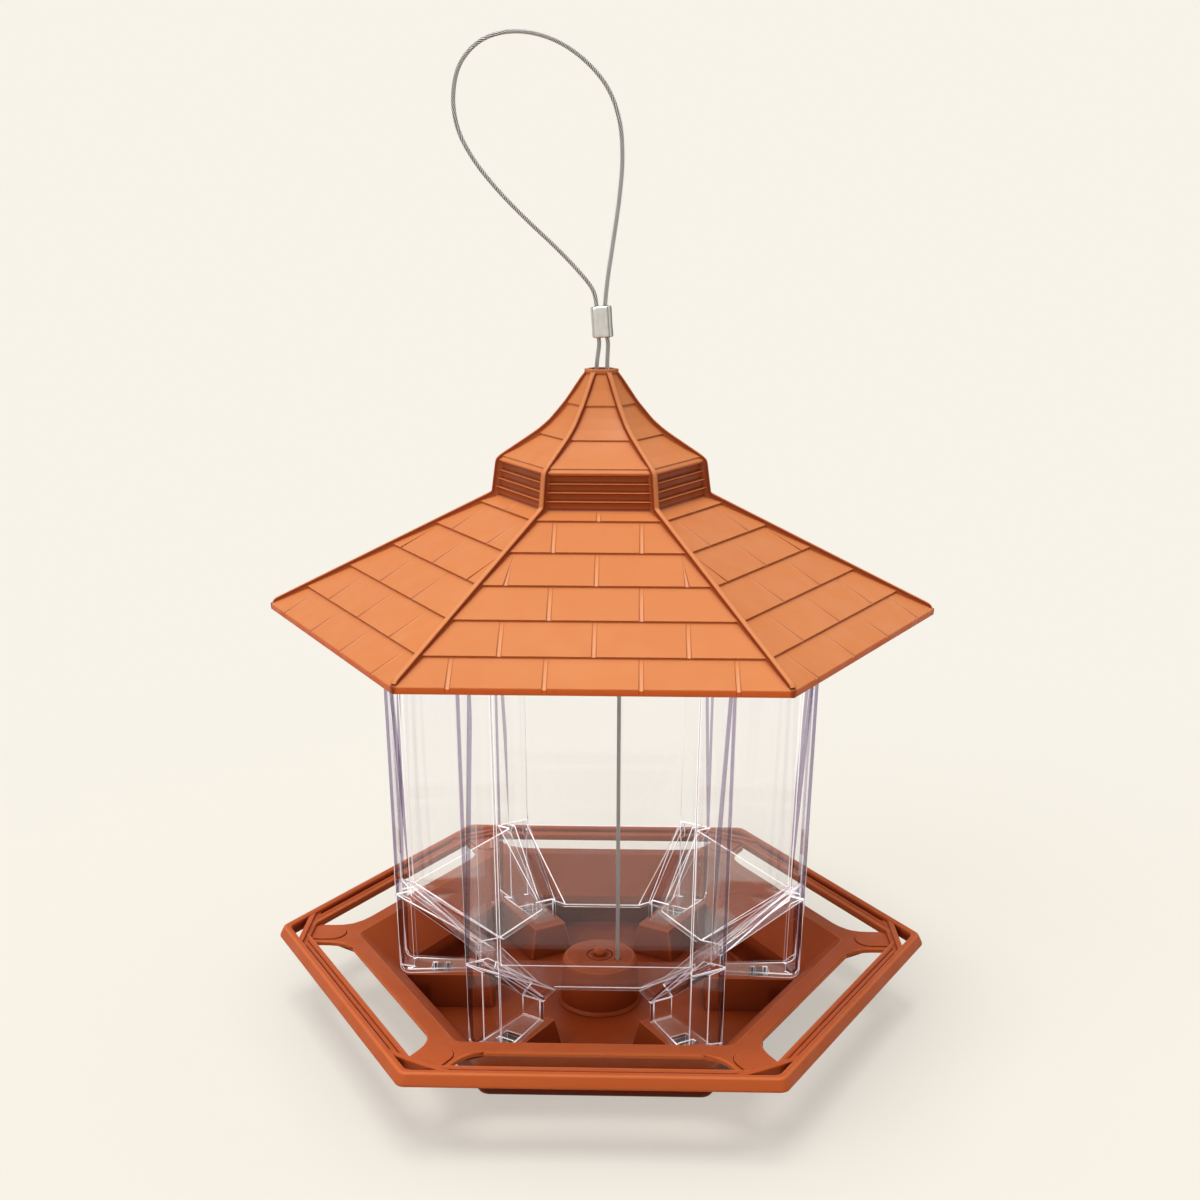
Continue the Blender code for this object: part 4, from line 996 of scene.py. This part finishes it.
def makeRing(s):
    # the rail goes round the hexagon; shelves, corner bars and tongues run into one another
    rail, shelf, bar = (np.array(s[key]) for key in ("rail", "shelf", "bar"))
    rows = hexRows(rail[:, :2], s["corner"], s["cornerSteps"])
    around = rows.shape[1]
    parts = [(rows.reshape(-1, 3), gridFaces(len(rail), around, closedRows=True)[0])]
    shadeAndHighlight = [np.repeat(rail[:, 2], around)]
    for section, end, turns in ((shelf, s["shelfEnd"], corners + pi / 6), (bar, s["barEnd"], corners)):
        parts.append(shells(section[:, :2], end, turns))
        shadeAndHighlight.append(np.tile(section[:, 2], 12))
    # a tongue's outline is a half circle at its inner end and two corners inside the bar
    start, end, half = s["tongue"]
    inset, height, seam = np.array(s["tongueEdge"]).T[:, :, None]
    angle = np.linspace(pi / 2, 3 * pi / 2, s["tongueSteps"])
    tip = end + 0 * inset
    out = np.concatenate([start + half + (half - inset) * np.cos(angle), tip, tip], 1)
    side = np.concatenate([(half - inset) * np.sin(angle), inset - half, half - inset], 1)
    x, y = turned(out, side, corners[:, None, None])
    parts.append((np.stack([x, y, height + 0 * x], -1).reshape(-1, 3), tubeFaces(*out.shape, copies=6)))
    shadeAndHighlight.append(np.tile((seam + 0 * out).reshape(-1), 6))
    piece = asMesh("perch_rail", *joined(parts))
    # painted shade from the positive shares, painted highlight from the negative ones
    for name, sign in (("seam", 1.0), ("paintedHighlight", -1.0)):
        addLayer(piece, name, np.maximum(sign * np.concatenate(shadeAndHighlight), 0.0))
    facesOutward(piece)
    piece.data.set_sharp_from_angle(angle=radians(s["sharp"]))
    return piece


shingled = makeRoof(roof)
trayBody = eased("seed_tray", "seed_tray_body", tray)
trimArms(trayBody, tray)
roomForRounding(trayBody, tray)
perchRail = makeRing(ring)
evenShading(shingled)
evenShading(perchRail)
for node, piece, s, slot, body in (
    ("roof", shingled, roof, "roof_plastic", "roof"),
    ("seed_tray", trayBody, tray, "tray_plastic", "tray"),
    ("perch_ring", perchRail, ring, "ring_plastic", "perch_ring"),
):
    title = "terracotta " + node.replace("_", " ")
    piece.data.materials.clear()
    piece.data.materials.append(plasticMaterial(title, s, terracotta))
    if "edgeHighlightTones" in s:
        # painted highlight: the rounded edges of the tray get paler tones, where they catch the light
        edgeHighlightPiece = {**s, "tones": s["edgeHighlightTones"]}
        piece.data.materials.append(plasticMaterial(title + " edges", edgeHighlightPiece, terracotta))
    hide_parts(node)
    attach(piece, body)
    print(piece.name, "finished,", len(piece.data.polygons), "faces")


# clear hopper

hopper = {
    "ease": 0.34,
    "steps": 2,
    "angle": 24,
    "veil": (0.996, 0.995, 0.997),
    "thickVeil": (0.44, 0.38, 0.50),
    "strip": (1.4, 1.7),             # how far in from a post's face the tinted line reaches
    "gloss": (0.95, 0.945, 0.985),
    # roughness of the gloss and its share, seen square on and at a glancing angle, but on the edges
    # by the flow of the plastic
    "kinds": {
        "skin": ((0.0, 0.025), (0.032, 0.60)),
        "edge": ((0.12, 0.26), (0.74, 0.92)),
        "inside": ((0.0, 0.025), (0.032, 0.60)),
        "thick": ((0.0, 0.025), (0.032, 0.25)),
        "chute": ((0.16, 0.24), (0.04, 0.35)),
    },
    "flow": (38.0, 2.0, 0.5, 0.6),   # scale, detail, roughness and distortion
    "wave": (0.05, 0.1),
    "facing": (0.5, 5.0),            # blend of the facing value, and its power in the gloss
    "edgeWhite": (0.99, 0.975, 1.0),
    "edgeGrey": (0.42, 0.38, 0.43),
    "edgeTurn": (0.34, 0.66),        # facing values between which the white turns into a painted grey, for the darker band a rounded edge shows
    "edgeGlow": 0.30,               # painted glow on the edges, for light that runs inside the walls and leaves there
    # below these heights and nearer the axis than these distances, lines are this bright
    "legs": ((18.0, 22.0), (62.0, 70.0), 0.40),
    "chuteLines": ((54.0, 60.0), 1.9),             # below these heights, the painted glow of the lines is so many times stronger
    "haze": ((0.04, 0.06), (0.97, 0.73, 0.60)),    # share and colour of the milky bloom on the chutes
    "hazeGlow": 0.3,                # painted glow of the bloom, for light it picks up inside the wall
    "chuteArea": 1000.0,             # sloping faces larger than this, in square millimetres, are the chutes
    "chuteTilt": 0.35,               # least that their normals look up or down
    "stepFacing": 0.75,              # steps look outwards less than this, and up or down less than the next
    "stepTilt": 0.4,
    "inward": -0.15,                 # faces that look outwards less than this are inner ones
}


def clearMaterial(s, name, kind):
    # clear styrene as a thin skin: it passes what is behind it and adds gloss that grows at a glancing
    # angle. kind "skin" is a wall's outer face; "edge" the rounded edges, which catch the light and carry a
    # painted glow; "inside" a wall's inner face; "thick" the narrow steps where one looks into the wall's
    # thickness; "chute" the sloping panels, whose milky bloom has a painted glow
    material, tree = newMaterial(name)
    rough, shares = s["kinds"][kind]
    flow = noise(tree, place(tree), *s["flow"])
    blend, power = s["facing"]
    facing = addNode(tree, "ShaderNodeLayerWeight", {"Blend": blend}).outputs["Facing"]
    veil, tone = s["veil"], s["gloss"]
    if kind == "thick":
        strip = rescale(tree, layerValue(tree, "strip"), 1.0, 0.0, *s["strip"])
        veil = blendColours(tree, strip, veil, s["thickVeil"])
    if kind == "edge":
        # painted shade: the edge lines turn grey at a glancing angle
        turn = rescale(tree, facing, 0.0, 1.0, *s["edgeTurn"])
        tone = blendColours(tree, turn, s["edgeWhite"], s["edgeGrey"])
    shine = addNode(tree, "ShaderNodeBsdfGlossy", {
        "Color": tone, "Roughness": rescale(tree, flow, *rough), "Normal": bumped(tree, flow, *s["wave"]),
    }).outputs["BSDF"]
    through = addNode(tree, "ShaderNodeBsdfTransparent", {"Color": veil}).outputs["BSDF"]
    if kind == "edge":
        # the lines on the legs and feet are fainter than those on the walls
        z, spoke = heightAndReach(tree)
        heights, reaches, faint = s["legs"]
        high, out = across(tree, z, heights, faint, 1.0), across(tree, spoke, reaches, faint, 1.0)
        bright = arithmetic(tree, "MAXIMUM", high, out)
        # and the painted glow on the lines round the chutes is the brightest
        heights, gain = s["chuteLines"]
        lit = across(tree, z, heights, gain * s["edgeGlow"], s["edgeGlow"])
        # painted glow: the edges give off light of their own
        paintedGlow = addNode(tree, "ShaderNodeEmission", {"Color": tone, "Strength": product(tree, bright, lit)})
        shine = addShaders(tree, shine, paintedGlow.outputs["Emission"])
        share = product(tree, rescale(tree, flow, *shares), bright)
    else:
        # Schlick's rule: the facing value to the fifth power, above a small constant
        share = rescale(tree, arithmetic(tree, "POWER", facing, power), *shares, 0.0, 1.0)
    if kind in ("inside", "thick", "chute"):
        # these pass light straight on as a refraction without bending, so that many walls in a row stay
        # clear; light that falls on the tray still passes them as plain transparency
        straight = addNode(tree, "ShaderNodeBsdfRefraction", {"Color": veil, "Roughness": 0.0, "IOR": 1.0})
        path = addNode(tree, "ShaderNodeLightPath").outputs
        falling = arithmetic(tree, "MAXIMUM", path["Is Shadow Ray"], path["Is Diffuse Ray"])
        through = mixShaders(tree, falling, straight.outputs["BSDF"], through)
    if kind == "chute":
        amounts, colour = s["haze"]
        bloom = addNode(tree, "ShaderNodeBsdfDiffuse", {"Color": colour}).outputs["BSDF"]
        # painted glow: the bloom gives off light of its own
        lit = addNode(tree, "ShaderNodeEmission", {"Color": colour, "Strength": s["hazeGlow"]})
        milky = addShaders(tree, bloom, lit.outputs["Emission"])
        through = mixShaders(tree, rescale(tree, flow, *amounts), through, milky)
    shadedBy(tree, "ShaderNodeMixShader", {0: share, 1: through, 2: shine})
    return material


def sortWalls(piece, s):
    # material 0 for outer faces, 2 for inner faces, 3 for the upright steps beside the corner posts and
    # 4 for the chutes. A face's side is told by the angle between its normal and the spoke to its
    # middle, and beside a post by which way it looks along the wall. Sharp edges are marked for
    # rounding where they touch an outer face, a step or the underside of a chute
    mesh = piece.data
    keys = ("normal", "center", "area")
    normals, centres, areas = (np.array([getattr(face, key) for face in mesh.polygons]) for key in keys)
    spoke = centres[:, :2] / np.linalg.norm(centres[:, :2], axis=1)[:, None]
    flat = np.linalg.norm(normals[:, :2], axis=1) + 1e-9
    outward = (normals[:, :2] * spoke).sum(1) / flat
    tilt = np.abs(normals[:, 2])
    corner = np.round(np.arctan2(centres[:, 1], centres[:, 0]) / (pi / 3)) * pi / 3
    along = np.stack([-np.sin(corner), np.cos(corner)], -1)
    away = (normals[:, :2] * along).sum(1) * (centres[:, :2] * along).sum(1) > 0
    step = (np.abs(outward) < s["stepFacing"]) & (tilt < s["stepTilt"])
    side = np.where(step & away, 3, np.where(step | (outward * flat < s["inward"]), 2, 0))
    side = np.where((tilt > s["chuteTilt"]) & (areas > s["chuteArea"] * mm ** 2), 4, side)
    mesh.polygons.foreach_set("material_index", side.astype(np.int32))
    # on the steps, how deep every corner lies behind the slanting outer edge of the step
    depth = mesh.attributes.new("strip", "FLOAT", "CORNER")
    for face in [face for face, kind in zip(mesh.polygons, side) if kind == 3]:
        places = np.array([mesh.vertices[k].co for k in face.vertices]) / mm
        reach, z = np.linalg.norm(places[:, :2], axis=1), places[:, 2]
        upper = z > (z.min() + z.max()) / 2
        high, low = (np.argmax(np.where(mask, reach, 0.0)) for mask in (upper, ~upper))
        outerEdge = reach[low] + (reach[high] - reach[low]) * (z - z[low]) / (z[high] - z[low])
        for loop, value in zip(face.loop_indices, outerEdge - reach):
            depth.data[loop].value = value

    def looksOut(face):
        return face.material_index in (0, 3) or (face.material_index == 4 and face.normal.z < 0)

    work = bmesh.new()
    work.from_mesh(mesh)
    weight = work.edges.layers.float.new("bevel_weight_edge")
    for edge in work.edges:
        outer = any(looksOut(face) for face in edge.link_faces)
        folded = edge.calc_face_angle(0.0) > radians(s["angle"])
        edge[weight] = float(outer and folded)
        edge.smooth = outer or not folded
    work.to_mesh(mesh)
    work.free()


clearHopper = eased("hopper", "clear_hopper", hopper)
clearHopper.data.materials.clear()
for kind in hopper["kinds"]:
    clearHopper.data.materials.append(clearMaterial(hopper, "clear styrene " + kind, kind))
sortWalls(clearHopper, hopper)
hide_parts("hopper")
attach(clearHopper, "hopper")
print("clear hopper finished")


# studio: pale floor that fades into an even cream background, soft light from the upper left

studio = {
    "cream": (0.933, 0.896, 0.815),
    "floor": (0.82, 0.785, 0.715),
    "paper": (900.0, 2.0),           # scale and detail of its mottle
    "mottle": (0.03, 0.9),           # share and tone of the mottle
    "rough": 0.9,
    "bounce": 0.52,                  # share of the floor's tone that lights the object's underside
    "fade": (300.0, 620.0),
    "near": 0.52,                    # share of plain cream close to the feeder, which keeps its shadow pale
    "reach": 8000.0,
    "sky": (0.12, 0.36, 0.1, 0.8),   # strength of the surrounding light level and overhead, and their heights
    "skyTone": (1.0, 0.985, 0.96),
    "lampTone": (1.0, 0.985, 0.955),
    # name, where from, size in degrees and strength
    "lamps": (
        ("overhead soft light", (-0.07, -0.10, 1.0), 36.0, 2.30),
        ("side soft light", (-0.80, -0.80, 0.75), 50.0, 0.75),
    ),
}


def makeStudio(s):
    # the floor mixes from lit paper near the feeder to plain cream further out, by distance on the floor
    r = s["reach"]
    outline = [(-r, -r, 0), (r, -r, 0), (r, r, 0), (-r, r, 0)]
    floor = asMesh("studio_floor", outline, [(0, 1, 2, 3)], smooth=False)
    material, tree = newMaterial("studio paper")
    distance = addNode(tree, "ShaderNodeVectorMath", {0: place(tree)}, operation="LENGTH").outputs["Value"]
    far = across(tree, distance, s["fade"], s["near"], 1.0, interpolation_type="SMOOTHSTEP")
    share, gain = s["mottle"]
    mottle = rescale(tree, noise(tree, place(tree), *s["paper"]), 0.0, share)
    tone = blendColours(tree, mottle, s["floor"], tuple(gain * c for c in s["floor"]))
    lit = addNode(tree, "ShaderNodeBsdfPrincipled", {
        "Base Color": tone, "Roughness": s["rough"], "Specular IOR Level": 0.0,
    }).outputs["BSDF"]
    glow = addNode(tree, "ShaderNodeEmission", {"Color": s["cream"], "Strength": 1.0}).outputs["Emission"]
    bounce = addNode(tree, "ShaderNodeBsdfDiffuse", {"Color": tuple(s["bounce"] * c for c in s["floor"])})
    shadedBy(tree, "ShaderNodeMixShader", {
        0: seenRay(tree), 1: bounce.outputs["BSDF"], 2: mixShaders(tree, far, lit, glow),
    })
    floor.data.materials.append(material)

    world = bpy.data.worlds.new("studio")
    bpy.context.scene.world = world
    world.use_nodes = True
    tree = world.node_tree
    tree.nodes.clear()
    # surrounding light is stronger overhead than level with the feeder
    way = addNode(tree, "ShaderNodeTexCoord").outputs["Generated"]
    strength = rescale(tree, split(tree, way)["Z"], *s["sky"])
    light = addNode(tree, "ShaderNodeBackground", {"Color": s["skyTone"], "Strength": strength}).outputs[0]
    shown = addNode(tree, "ShaderNodeBackground", {"Color": s["cream"], "Strength": 1.0}).outputs[0]
    addNode(tree, "ShaderNodeOutputWorld", {"Surface": mixShaders(tree, seenRay(tree), light, shown)})

    for name, origin, size, power in s["lamps"]:
        lamp = bpy.data.lights.new(name, "SUN")
        lamp.angle = radians(size)
        lamp.energy = power
        lamp.color = s["lampTone"]
        asPiece(name, lamp).matrix_world = Vector(origin).to_track_quat("Z", "Y").to_matrix().to_4x4()
    bpy.context.scene.view_settings.view_transform = "Standard"
    print("studio lit")


makeStudio(studio)
